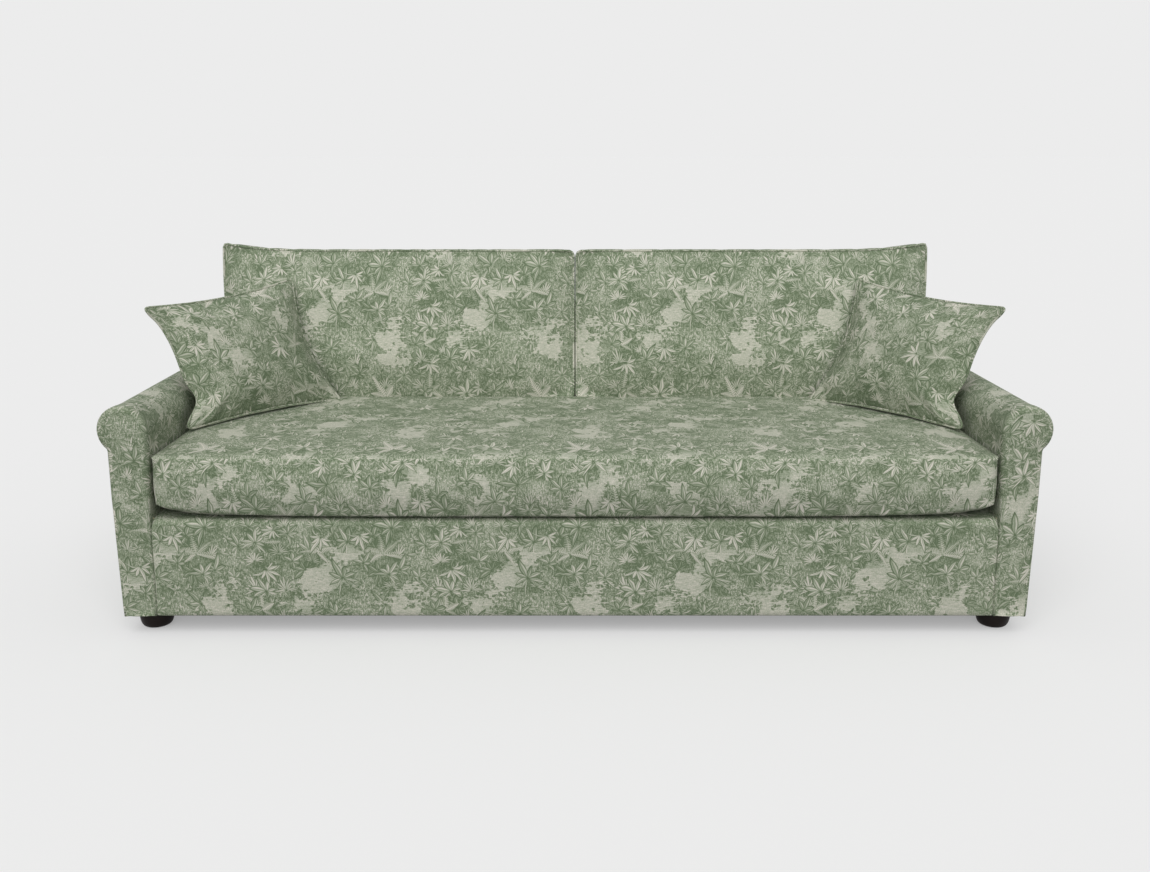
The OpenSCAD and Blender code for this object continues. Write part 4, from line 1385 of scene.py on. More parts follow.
@dataclass
class Base(Piece):
    """The front border, the cloth on the deck and the cloth under the base.

    Attributes:
        edge_r: Radius of the border's top edge.
        corner_r: Radius of its top corners, seen from the front.
        corner_from: Height from which a corner starts to round.
        corner_over: How far over the deck its rounding reaches.
        turn: How far the cloth is turned back over the deck.
        turn_under: How far it is turned under the base.
        seam_gap: Width of the seam against a facing.
        end_r: Radius of its upright edges.
        tucked: How far the cloth is tucked in behind a facing.
        puff: How far the border swells in its middle.
        puff_over: Length over which the swell grows from each end.
        front_points: Points up the front.
        deck_points: Points back over the deck.
        across_points: Points across.
        slack: How far the deck lining hangs in its middle.
        cloth: Thickness of the two thin cloths.
    """

    edge_r: float = 0.016
    corner_r: float = 0.028
    corner_from: float = 0.2
    corner_over: float = 0.022
    turn: float = 0.120
    turn_under: float = 0.012
    seam_gap: float = 0.0012
    end_r: float = 0.005
    tucked: tuple[float, float] = (0.010, 0.020)
    puff: float = 0.004
    puff_over: float = 0.06
    front_points: int = 22
    deck_points: int = 9
    across_points: int = 161
    slack: float = 0.0006
    cloth: float = 0.0012

    def border_line(self) -> np.ndarray:
        """Depth and height along the border, from under the base up its front and over the deck."""
        b = self.body
        quarter = np.linspace(0, np.pi / 2, 7)[1:]
        under = [[b.y_front + self.turn_under, b.foot + HEM_UP], [b.y_front + HEM_R, b.foot]]
        front_z = np.linspace(b.foot + HEM_R, b.deck - self.edge_r, self.front_points)
        front = stacked(np.float64(b.y_front), front_z)
        bend_z = b.deck - self.edge_r * (1 - np.sin(quarter))
        bend = np.stack([b.y_front + self.edge_r * (1 - np.cos(quarter)), bend_z], -1)
        back_y = np.linspace(b.y_front + self.edge_r, b.y_front + self.turn, self.deck_points + 1)[1:]
        return np.concatenate([under, front, bend, stacked(back_y, np.float64(b.deck))])

    def border(self) -> None:
        """The padded border between the two front facings, and its turn over the deck."""
        b = self.body
        line = self.border_line()
        y, z = line[:, :1], line[:, 1:]
        half = b.base_half(z) - self.seam_gap
        r, turn = self.end_r, np.linspace(0, np.pi / 2, 5)[1:]
        across = even(self.across_points, 0.35)
        end_x = np.concatenate([half - r * (1 - np.sin(turn)), np.repeat(half, len(self.tucked), 1)], 1)
        x = np.concatenate([-end_x[:, ::-1], across * (half - r), end_x], 1)
        sunk = np.concatenate([r * (1 - np.cos(turn)), self.tucked])
        sunk = np.concatenate([sunk[::-1], np.zeros(len(across)), sunk])[None, :]
        along = np.gradient(line, axis=0)
        along /= np.linalg.norm(along, axis=1, keepdims=True)
        from_end = half - np.abs(x)
        corner = np.clip(self.corner_r - from_end, 0, None)
        drop = self.corner_r - np.sqrt(np.maximum(0.0, self.corner_r**2 - corner**2))
        height = np.clip((z - self.corner_from) / (b.deck - self.corner_from), 0, 1) ** 2
        height = height * np.clip(1 - (y - b.y_front) / self.corner_over, 0, 1)
        rise = np.clip((z - b.foot) / (b.deck - self.edge_r - b.foot), 0, 1)
        on_front = y < b.y_front + 0.001
        bulge = self.puff * np.sin(np.pi * rise) * eased(from_end / self.puff_over) * on_front
        points = stacked(x, y - bulge + sunk * along[:, 1:], z - drop * height - sunk * along[:, :1])
        sewing = Sewing()
        sewing.panel(points, stacked(x + np.sign(x) * sunk, lengths(line)[:, None]))
        piece = sewing.build("front_border_linen")
        self.walled(piece)
        self.dressed(piece, "sofa", Slot.LINEN, ["front_border_cover", "border_padding"])

    def sheet_between(self, name: str, low: Vector, high: Vector, sag: float) -> bpy.types.Object:
        """A thin cloth that fills a flat box, a little slack in the middle.

        Args:
            name: Name of the piece.
            low: Lowest corner.
            high: Highest corner.
            sag: How far its middle hangs.

        Returns:
            The piece.
        """
        share = np.meshgrid(np.linspace(0, 1, 61), np.linspace(0, 1, 31))
        x, y = low.x + share[0] * (high.x - low.x), low.y + share[1] * (high.y - low.y)
        middle = np.sin(np.pi * share[0]) * np.sin(np.pi * share[1])
        ripple = 0.15 * np.sin(31 * x + 5 * y) * np.sin(23 * y)
        points = np.stack([x, y, high.z - sag * middle * (1 + ripple)], -1)
        sewing = Sewing()
        sewing.panel(points, points[..., :2])
        piece = sewing.build(name)
        apply(piece, "SOLIDIFY", thickness=self.cloth, offset=-1.0)
        smooth(piece)
        return piece

    def cloths(self) -> None:
        """The deck cloth and the dust cover."""
        low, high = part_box("deck_cloth")
        deck = self.sheet_between("deck_lining", low, high, self.slack)
        self.dressed(deck, "sofa", Slot.PLATFORM, ["deck_cloth"])
        low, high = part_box("dust_cover")
        under = self.sheet_between("dust_cover_cloth", low, high, 0.0)
        self.dressed(under, "sofa", Slot.BLACK_CLOTH, ["dust_cover"])

    def build(self) -> None:
        """Builds the base's pieces."""
        self.border()
        self.cloths()


@dataclass
class Back(Piece):
    """The padded inside and top of the back, its ends and its outside.

    Attributes:
        front_r: Radius of the top's front edge.
        rear_r: Radius of its rear edge.
        end_r: Radius of the edges at its ends.
        sunk: How far the inside cover starts under the deck.
        turn_under: How far the outside cover is turned under the base.
        seam_gap: Width of the seam between the outside cover and an arm.
        outside_points: Points up the outside.
    """

    front_r: float = 0.020
    rear_r: float = 0.006
    end_r: float = 0.008
    sunk: float = 0.02
    turn_under: float = 0.012
    seam_gap: float = 0.0008
    outside_points: int = 50

    def section(self, inset: float) -> np.ndarray:
        """Line up the inside of the back and over its top to the outside.

        Args:
            inset: How far it is drawn in.

        Returns:
            Points in depth and height.
        """
        b = self.body
        z = np.linspace(b.deck - self.sunk, b.top - self.front_r, 18)
        line = np.stack([b.inside_back(z) + inset, z], -1)
        angle = np.linspace(np.pi - b.lean, np.pi / 2, 8)[1:]
        centre_y = b.inside_back(b.top - self.front_r) + self.front_r / math.cos(b.lean)
        r = self.front_r - inset
        arc = np.stack([centre_y + r * np.cos(angle), b.top - self.front_r + r * np.sin(angle)], -1)
        flat_y = np.linspace(centre_y, b.y_back - self.rear_r, 8)[1:]
        flat = stacked(flat_y, np.float64(b.top - inset))
        angle = np.linspace(np.pi / 2, 0.0, 5)[1:]
        r = max(0.0005, self.rear_r - inset)
        centre = np.array([b.y_back, b.top]) - self.rear_r
        rear = centre + r * np.stack([np.cos(angle), np.sin(angle)], -1)
        return np.concatenate([line, arc, flat, rear])

    def inside(self) -> None:
        """The cover over the inside of the back, its top and its two ends."""
        b = self.body
        quarter = np.linspace(0, np.pi / 2, 5)
        from_end = self.end_r * (1 - np.cos(quarter))
        between = np.linspace(-b.x_in + self.end_r, b.x_in - self.end_r, 80)[1:-1]
        x = np.sort(np.concatenate([from_end - b.x_in, between, b.x_in - from_end]))
        inset = np.interp(b.x_in - np.abs(x), from_end, self.end_r * (1 - np.sin(quarter)))
        rings = np.stack([self.section(i) for i in inset])
        points = stacked(x[:, None], rings[..., 0], rings[..., 1])
        sewing = Sewing()
        sewing.panel(points, stacked(x[:, None] + 0.24, lengths(self.section(0.0), 0.13)[None, :]))
        for end in (0, -1):
            outline = points[end]
            rear = outline.copy()
            rear[:, 1] = np.maximum(b.y_back - self.rear_r, outline[:, 1])
            share = np.linspace(0, 1, 9)[None, :, None]
            panel = outline[:, None] * (1 - share) + rear[:, None] * share
            sewing.panel(panel, panel[..., 1:] + 0.2, end == 0)
        piece = sewing.build("inside_back_linen")
        self.walled(piece)
        self.dressed(piece, "sofa", Slot.LINEN, ["inside_back_cover", "back_padding"])

    def outside(self) -> None:
        """The flat cover on the outside of the back."""
        b = self.body
        flat = np.linspace(b.foot + HEM_R, b.top - self.rear_r, self.outside_points)
        z = np.concatenate([[b.foot + HEM_UP, b.foot], flat])
        y = np.concatenate([[b.y_back - self.turn_under, b.y_back - HEM_R], np.full(len(flat), b.y_back)])
        beside_arm = np.where(z < b.roll_z, b.x_deck + (z - b.deck) * b.arm_slope, b.x_in - 0.0005)
        half = np.where(z < b.deck, b.base_half(z), beside_arm) - self.seam_gap
        x = np.linspace(-1, 1, 81)[None, :] * half[:, None]
        points = stacked(x, y[:, None], z[:, None])
        sewing = Sewing()
        sewing.panel(points, np.stack([-points[..., 0], points[..., 2]], -1), True)
        piece = sewing.build("outside_back_linen")
        self.walled(piece)
        self.dressed(piece, "sofa", Slot.LINEN, ["outside_back_cover"])

    def build(self) -> None:
        """Builds the back's pieces."""
        self.inside()
        self.outside()


@dataclass
class Cushion(Piece):
    """A loose cushion, with the grid that its panels are drawn on.

    Attributes:
        filling: How it is filled.
        columns: Points across a panel.
        rows: Points up it.
        crowd: How far the points are crowded to its edges, from 0 to 1.
        sharpness: How sharp its seams stay, from 0 to 1.
        full: How full it is stuffed, from 0 to 1. Not used.
    """

    filling: Filling = Filling(cap=0.008)
    columns: int = 83
    rows: int = 37
    crowd: float = 0.15
    sharpness: float = 0.7
    full: float = 0.9

    def grid(self) -> tuple[np.ndarray, np.ndarray]:
        """Shares across and up a panel, from -1 to 1."""
        x, y = np.meshgrid(even(self.columns, self.crowd), even(self.rows, self.crowd))
        return x, y

    def filled(
        self,
        piece: bpy.types.Object,
        seams: Sequence[np.ndarray],
        room: Callable[[np.ndarray, np.ndarray], np.ndarray],
    ) -> list[np.ndarray]:
        """Fills the cushion's sewn cover and refines it.

        Args:
            piece: The cover.
            seams: Closed path of each seam.
            room: Keeps the cushion clear of its neighbours.

        Returns:
            Where the seams lie when it is filled.
        """
        sewn = [nearest(piece, seam) for seam in seams]
        inflate(piece, sewn, self.filling, room)
        creased(piece, sewn, self.sharpness)
        paths = [places(piece)[seam] for seam in sewn]
        subdivided(piece)
        return paths


@dataclass
class SeatCushion(Cushion):
    """The bench cushion: boxed, crowned, with the corners of its lower seam drawn up.

    Attributes:
        half_w: Half its width.
        y0: Depth of its front seams.
        y1: Depth of its rear seams.
        z: Height of the deck that it lies on.
        lift: How far over the deck the lower seam runs.
        corner_lift: How much further it is drawn up at the corners.
        box_h: Height of the boxing at the corners.
        crown: How far the top rises over its seam before it is filled.
        crown_over: Length over which it rises.
        lift_over: Length over which the underside comes down to the deck.
        bulge: How far the front boxing swells.
        bulge_room: How far the front may stand before its seams.
        side_room: How far an end may stand past its seams.
        pull: How far the ends are drawn in between their corners.
        corner_r: Radius of its corners, seen from above.
    """

    sharpness: float = 0.8
    full: float = 0.85
    half_w: float = 1.073
    y0: float = -0.493
    y1: float = 0.338
    z: float = 0.3183
    lift: float = 0.012
    corner_lift: float = 0.030
    box_h: float = 0.122
    crown: float = 0.008
    crown_over: float = 0.15
    lift_over: float = 0.11
    bulge: float = 0.012
    bulge_room: float = 0.024
    side_room: float = 0.0005
    pull: float = 0.004
    corner_r: float = 0.024
    filling: Filling = Filling(cap=0.006)
    columns: int = 151
    rows: int = 61

    @property
    def half_d(self) -> float:
        """Half the depth between its seams."""
        return (self.y1 - self.y0) / 2

    @property
    def seam_z(self) -> float:
        """Height of the top seam."""
        return self.z + self.lift + self.corner_lift + self.box_h

    def plan(self, px: np.ndarray, py: np.ndarray) -> tuple[np.ndarray, np.ndarray]:
        """Places across and along, with rounded corners.

        Args:
            px: Share across, from -1 to 1.
            py: Share along, from -1, the front, to 1.

        Returns:
            Places across and along, in metres.
        """
        x, y = rounded(px * self.half_w, py * self.half_d, self.half_w, self.half_d, self.corner_r)
        x = x * (1 - self.pull / self.half_w * (1 - py**2))
        return x, y + (self.y0 + self.y1) / 2

    def low(self, px: np.ndarray, py: np.ndarray) -> np.ndarray:
        """Height of the lower seam over the deck."""
        return self.lift + self.corner_lift * np.abs(px) ** 8 * np.abs(py) ** 4

    def panels(self) -> Sewing:
        """The top, the bottom and the boxing."""
        sewing = Sewing()
        px, py = self.grid()
        x, y = self.plan(px, py)
        dx, dy = self.half_w * (1 - np.abs(px)), self.half_d * (1 - np.abs(py))
        top = self.seam_z + self.crown * eased(dx / self.crown_over) * eased(dy / self.crown_over)
        sewing.panel(np.stack([x, y, top], -1), np.stack([x, y + 0.3], -1))
        lifted = 1 - eased(dx / self.lift_over) * eased(dy / self.lift_over)
        flat = self.z + self.low(px, py) * lifted
        sewing.panel(np.stack([x, y, flat], -1), np.stack([x, y - 0.3], -1), True)
        share = np.linspace(0, 1, 11)[:, None]
        start = 0.11
        for sx, sy in sides_of(px, py):
            x, y = self.plan(sx, sy)
            low = self.low(sx, sy)
            z = self.z + low + share * (self.seam_z - self.z - low)
            front = (sy < -0.999).astype(float)
            out = self.bulge * np.sin(np.pi * share) * front * (1 - sx**8)
            run = lengths(np.stack([x, y], -1), start)
            sewing.panel(stacked(x, y - out, z), stacked(run, z))
            start = run[-1]
        return sewing

    def seams(self) -> list[np.ndarray]:
        """Closed paths of the top and the bottom seam."""
        px, py = edge_of(*self.grid())
        x, y = self.plan(px, py)
        return [stacked(x, y, z) for z in (np.float64(self.seam_z), self.z + self.low(px, py))]

    def room(self, before: np.ndarray, after: np.ndarray) -> np.ndarray:
        """Keeps the cushion clear of the arms, the back and the deck.

        Args:
            before: Its points before it was filled.
            after: Its points now.

        Returns:
            Its points, moved clear.
        """
        out = after.copy()
        outermost = self.half_w + self.side_room
        out[:, 0] = np.clip(out[:, 0], -outermost, outermost)
        out[:, 1] = np.clip(out[:, 1], self.y0 - self.bulge_room, before[:, 1].max())
        out[:, 2] = np.maximum(out[:, 2], self.z)
        return out

    def build(self) -> None:
        """Builds, fills and dresses the cushion."""
        piece = self.panels().build("seat_cushion_linen")
        self.filled(piece, self.seams(), self.room)
        self.dressed(piece, "seat_cushion", Slot.LINEN, ["seat_cushion_cover", "seat_cushion_core"])


@dataclass
class BackCushion(Cushion):
    """One back cushion: boxed, crowned in front, with both its seams piped.

    Attributes:
        side: Which cushion it is.
        half_w: Half its width.
        centre_x: How far its middle stands from the sofa's.
        foot_z: Height that it stands at.
        height: Its height.
        box_t: Depth of the boxing.
        crown: How far the front rises over its seam before it is filled.
        crown_over: Length over which it rises.
        swell: How far its foot swells to the front.
        top_fall: How far its rear seam lies under the front one at the top.
        flare: How far the top of its outer side leans out.
        ear: How far its upper outer corner stands up.
        rear_crown: How far the rear rises over its seam.
        rear_over: Length over which it rises.
        pull: How far its outer side is drawn in between the corners.
        parting: How near its inner side may come to the middle of the sofa.
        side_bulge: How far its inner side swells.
        corner_r: Radius of its inner corners.
        outer_r: Radius of its outer corners.
        clear: Room between the cushion and the inside back.
        out_room: How far it may stand past its outer side.
        piping_r: Radius of the piping.
    """

    side: Side = Side.RIGHT
    half_w: float = 0.5345
    centre_x: float = 0.5389
    foot_z: float = 0.4906
    height: float = 0.4435
    box_t: float = 0.150
    crown: float = 0.044
    crown_over: float = 0.15
    swell: float = 0.037
    top_fall: float = 0.018
    flare: float = 0.016
    ear: float = 0.023
    rear_crown: float = 0.008
    rear_over: float = 0.06
    pull: float = 0.006
    parting: float = 0.0003
    side_bulge: float = 0.004
    corner_r: float = 0.015
    outer_r: float = 0.013
    clear: float = 0.0003
    out_room: float = 0.004
    piping_r: float = 0.0034

    def place(self, px: np.ndarray, py: np.ndarray, depth: np.ndarray | float) -> np.ndarray:
        """Places for shares across and up, at a depth in front of the leaning back.

        Args:
            px: Share across, from -1, the inner side, to 1.
            py: Share up, from -1 to 1.
            depth: How far in front of the inside back.

        Returns:
            Points of the right-hand cushion.
        """
        half_h = self.height / 2
        r = np.where(px > 0, self.outer_r, self.corner_r)
        u, v = rounded(px * self.half_w, py * half_h, self.half_w, half_h, r)
        up, out = np.maximum(0, py), np.maximum(0, px)
        pull = np.where(px > 0, self.pull, 0.0)
        u = u * (1 - pull / self.half_w * (1 - py**2)) + self.flare * out**3 * up**0.5 * (1 - 0.7 * up**2)
        v = v + half_h + self.ear * out**6 * up**2
        boxed = np.clip((depth - self.rear_crown) / self.box_t, 0, 1)
        u = u - self.side_bulge * np.sin(np.pi * boxed) ** 0.5 * np.maximum(0, -px) ** 64
        share = np.maximum(0, 1 - v / self.height) ** 1.5
        swell = self.swell * share * depth / (self.box_t + self.crown)
        z = self.foot_z + v - self.top_fall * up**4 * (1 - boxed)
        y = self.body.inside_back(z) - self.clear - depth - swell
        return stacked(self.centre_x + u, y, z)

    def panels(self) -> Sewing:
        """The front, the rear and the boxing."""
        sewing = Sewing()
        px, py = self.grid()
        dx, dy = self.half_w * (1 - np.abs(px)), self.height / 2 * (1 - np.abs(py))
        crowned = eased(dx / self.crown_over) * eased(dy / self.crown_over)
        front = self.rear_crown + self.box_t + self.crown * crowned
        rear = self.rear_crown * (1 - eased(dx / self.rear_over) * eased(dy / self.rear_over))
        flat = np.stack([px * self.half_w * self.side.value, py * self.height / 2], -1)
        left = self.side is Side.LEFT
        sewing.panel(mirrored(self.place(px, py, front), self.side), flat + [0.06, 0.08], left)
        sewing.panel(mirrored(self.place(px, py, rear), self.side), flat + [0.31, 0.2], not left)
        depth = self.rear_crown + np.linspace(0, 1, 12)[:, None] * self.box_t
        start = 0.0
        for sx, sy in sides_of(px, py):
            points = self.place(sx[None, :], sy[None, :], depth)
            run = lengths(points[0], start)
            sewing.panel(mirrored(points, self.side), stacked(run, -depth), left)
            start = run[-1]
        return sewing

    def seam(self, front: bool) -> np.ndarray:
        """Closed path of the front or the rear seam."""
        depth = self.rear_crown + (self.box_t if front else 0.0)
        return mirrored(self.place(*edge_of(*self.grid()), depth), self.side)

    def room(self, before: np.ndarray, after: np.ndarray) -> np.ndarray:
        """Keeps the cushion clear of its neighbour, the back and the seat.

        Args:
            before: Its points before it was filled. Not used here.
            after: Its points now.

        Returns:
            Its points, moved clear.
        """
        out = after.copy()
        outermost = self.centre_x + self.half_w + self.flare + self.out_room
        x = np.clip(out[:, 0] * self.side.value, self.parting, outermost)
        out[:, 0] = x * self.side.value
        out[:, 1] = np.minimum(out[:, 1], self.body.inside_back(out[:, 2]) - self.clear)
        out[:, 2] = np.maximum(out[:, 2], self.foot_z)
        return out

    def build(self) -> None:
        """Builds, fills, pipes and dresses the cushion."""
        word = self.side.word
        piece = self.panels().build(f"{word}_back_cushion_linen")
        paths = self.filled(piece, [self.seam(True), self.seam(False)], self.room)
        rides_on = f"{word}_back_cushion"
        self.dressed(piece, rides_on, Slot.LINEN, [f"{rides_on}_cover", f"{rides_on}_pad"])
        for name, path in zip(("front", "rear"), paths):
            piping = tube(f"{word}_back_cushion_{name}_piping", path, self.piping_r)
            self.dressed(piping, rides_on, Slot.LINEN)


@dataclass
class ScatterCushion(Cushion):
    """One scatter cushion: two panels with a piped knife edge, set across its corner.

    Attributes:
        side: Which cushion it is.
        width: Its width.
        height: Its height.
        thick: Thickness in its middle before it is filled.
        edge_t: Room under its edge for the piping.
        pull: How far its sides are drawn in between the corners.
        top_pull: How far its top and its foot are drawn in.
        rise: How far its inner upper corner stands up.
        pinch: How far its outer side is drawn in over the lower tip.
        pinch_at: Share of half the height, from the middle, where it is drawn in most.
        pinch_over: Share over which it is drawn in.
        flap: How far the lower tip reaches out.
        reach: How far the upper tip reaches out.
        spread: How much wider its foot is than its top.
        skew: How far its top is shifted to the outside.
        curl: How far the tips curl.
        corner_r: Radius of its inner corners.
        tip_r: Radius of its upper tip.
        ear_r: Radius of its lower tip.
        fullness: How fast it thickens from its edge, from 0 to 1.
        yaw: Turn from the front, in radians.
        lean: Lean from upright, in radians.
        x: Place of its middle across.
        y: Place of its middle in depth.
        piping_r: Radius of the piping.
    """

    full: float = 0.8
    side: Side = Side.RIGHT
    width: float = 0.488
    height: float = 0.370
    thick: float = 0.116
    edge_t: float = 0.005
    pull: float = 0.040
    top_pull: float = 0.017
    rise: float = 0.018
    pinch: float = 0.030
    pinch_at: float = -0.58
    pinch_over: float = 0.24
    flap: float = 0.052
    reach: float = 0.034
    spread: float = 0.017
    skew: float = 0.041
    curl: float = 0.014
    corner_r: float = 0.012
    tip_r: float = 0.036
    ear_r: float = 0.048
    fullness: float = 0.6
    yaw: float = math.radians(50)
    lean: float = math.radians(19.5)
    x: float = 0.933
    y: float = -0.010
    piping_r: float = 0.0032
    columns: int = 41
    crowd: float = 0.2

    def axes(self) -> tuple[np.ndarray, np.ndarray, np.ndarray]:
        """Directions across the cushion, up it and out of its front."""
        across = np.array([-math.cos(self.yaw), math.sin(self.yaw), 0.0])
        facing = np.array([-math.sin(self.yaw), -math.cos(self.yaw), 0.0])
        out = facing * math.cos(self.lean) + np.array([0, 0, math.sin(self.lean)])
        up = np.array([0, 0, math.cos(self.lean)]) - facing * math.sin(self.lean)
        return across, up, out

    def local(self, qx: np.ndarray, qy: np.ndarray, face: float) -> np.ndarray:
        """Places for shares across and up, on the front or the rear face.

        Args:
            qx: Shares across.
            qy: Shares up.
            face: 1 for the front face, -1 for the rear one.

        Returns:
            Places before the cushion is put in its corner.
        """
        across, up, out = self.axes()
        half_w, half_h = self.width / 2, self.height / 2
        tip = np.where(qx < 0, np.where(qy < 0, self.ear_r, self.tip_r), self.corner_r)
        x, y = rounded(qx * half_w, qy * half_h, half_w, half_h, tip)
        qx, qy = x / half_w, y / half_h
        ends = np.where(qy < 0, self.flap, self.reach) * qy**8
        pinch = self.pinch * np.exp(-(((qy - self.pinch_at) / self.pinch_over) ** 2))
        pinched = np.maximum(0, -qx) ** 2 * (pinch - ends)
        u = qx * (half_w + self.spread * (1 - qy) / 2 - self.pull * (1 - qy**2) - pinched)
        v = qy * (half_h - self.top_pull * (1 - qx**2)) + self.rise * qx * np.maximum(0, qy) ** 2
        full = np.maximum(0, (1 - qx**2) * (1 - qy**2)) ** self.fullness
        w = face * (self.thick / 2 * full) + self.curl * np.maximum(0, qx * qy) ** 6 * (qx < 0)
        u = u - self.skew * (1 + qy) / 2
        return u[..., None] * across + v[..., None] * up + w[..., None] * out

    def offset(self) -> np.ndarray:
        """Where the middle of the cushion stands."""
        low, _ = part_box(f"{self.side.word}_scatter_cushion_cover")
        q = np.linspace(-1, 1, 61)
        qx, qy = np.meshgrid(q, q)
        lowest = min(self.local(qx, qy, face)[..., 2].min() for face in (1, -1)) - self.edge_t / 2
        return np.array([self.x, self.y, low.z - lowest])

    def panels(self) -> Sewing:
        """The front and the rear."""
        sewing = Sewing()
        qx, qy = self.grid()
        place = self.offset()
        flat = np.stack([qx * self.width / 2 * self.side.value, qy * self.height / 2], -1)
        right = self.side is Side.RIGHT
        sewing.panel(mirrored(self.local(qx, qy, 1) + place, self.side), flat + [0.12, 0.33], right)
        sewing.panel(mirrored(self.local(qx, qy, -1) + place, self.side), flat + [0.4, 0.1], not right)
        return sewing

    def seam(self) -> np.ndarray:
        """Closed path of the seam."""
        return mirrored(self.local(*edge_of(*self.grid()), 1) + self.offset(), self.side)

    def room(self, before: np.ndarray, after: np.ndarray) -> np.ndarray:
        """Keeps the cushion on the seat.

        Args:
            before: Its points before it was filled.
            after: Its points now.

        Returns:
            Its points, moved clear.
        """
        out = after.copy()
        out[:, 2] = np.maximum(out[:, 2], before[:, 2].min())
        return out

    def build(self) -> None:
        """Builds, fills, pipes and dresses the cushion."""
        word = self.side.word
        piece = self.panels().build(f"{word}_scatter_cushion_linen")
        (path,) = self.filled(piece, [self.seam()], self.room)
        rides_on = f"{word}_scatter_cushion"
        self.dressed(piece, rides_on, Slot.LINEN, [f"{rides_on}_cover", f"{rides_on}_pad"])
        piping = tube(f"{word}_scatter_cushion_piping", path, self.piping_r)
        self.dressed(piping, rides_on, Slot.LINEN)


@dataclass
class Foot(Piece):
    """One low turned foot.

    Attributes:
        top_r: Radius at its top.
        belly_r: Its largest radius.
        base_r: Radius where it starts to swell.
        flat_r: Radius of its flat base.
        belly_z: Height of the largest radius.
        base_z: Height of its base, over the glide.
        height: Height of its top.
    """

    top_r: float = 0.0427
    belly_r: float = 0.044
    base_r: float = 0.033
    flat_r: float = 0.029
    belly_z: float = 0.0335
    base_z: float = 0.003
    height: float = 0.054

    def profile(self) -> list[tuple[float, float]]:
        """Radius and height of the turning, from the middle of its base to its top."""
        swell, rise = self.belly_r - self.base_r, self.belly_z - self.base_z
        turns = [math.radians(degrees) for degrees in range(0, 91, 10)]
        arc = [(self.base_r + swell * math.sin(a), self.base_z + rise * (1 - math.cos(a))) for a in turns]
        neck = [(self.belly_r - 0.0002, self.belly_z + 0.008), (self.top_r, self.height - 0.001)]
        top = [(self.top_r - 0.001, self.height), (0.0, self.height)]
        return [(0.0, self.base_z), (self.flat_r, self.base_z), *arc, *neck, *top]

    def build(self) -> bpy.types.Object:
        """Turns the foot."""
        points = self.profile()
        bpy.ops.object.select_all(action="DESELECT")
        bpy.ops.mesh.primitive_plane_add(size=0.01, location=(0, 0, 0))
        piece = bpy.context.active_object
        bpy.ops.object.mode_set(mode="EDIT")
        bpy.ops.mesh.select_all(action="SELECT")
        bpy.ops.mesh.merge(type="CENTER")
        here = Vector((0.0, 0.0, 0.0))
        for r, z in points:
            there = Vector((r, 0.0, z))
            if (r, z) == points[0]:
                bpy.ops.transform.translate(value=there - here)
            else:
                bpy.ops.mesh.extrude_region_move(TRANSFORM_OT_translate={"value": there - here})
            here = there
        bpy.ops.mesh.select_all(action="SELECT")
        bpy.ops.mesh.spin(steps=48, angle=2 * math.pi, center=(0, 0, 0), axis=(0, 0, 1))
        bpy.ops.mesh.select_all(action="SELECT")
        bpy.ops.mesh.remove_doubles(threshold=0.00005)
        bpy.ops.mesh.normals_make_consistent(inside=False)
        bpy.ops.object.mode_set(mode="OBJECT")
        bpy.ops.object.shade_smooth_by_angle(angle=math.radians(40))
        return piece


@dataclass
class Feet(Piece):
    """The four feet."""

    def build(self) -> None:
        """Turns one foot and sets a copy at each corner."""
        low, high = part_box("feet")
        foot = Foot(self.finishes)
        pattern = foot.build()
        r = foot.belly_r
        for side in Side:
            x = (high.x - r) * side.value
            for end, y in (("front", low.y + r), ("rear", high.y - r)):
                piece = pattern.copy()
                piece.data = pattern.data.copy()
                piece.name = f"{side.word}_{end}_foot"
                bpy.context.scene.collection.objects.link(piece)
                set_places(piece, places(piece) + np.array([x, y, 0.0]))
                first = side is Side.LEFT and end == "front"
                self.dressed(piece, "sofa", Slot.FOOT, ["feet"] if first else [])
        bpy.data.objects.remove(pattern)


# ---------------------------------------------------------------- the studio


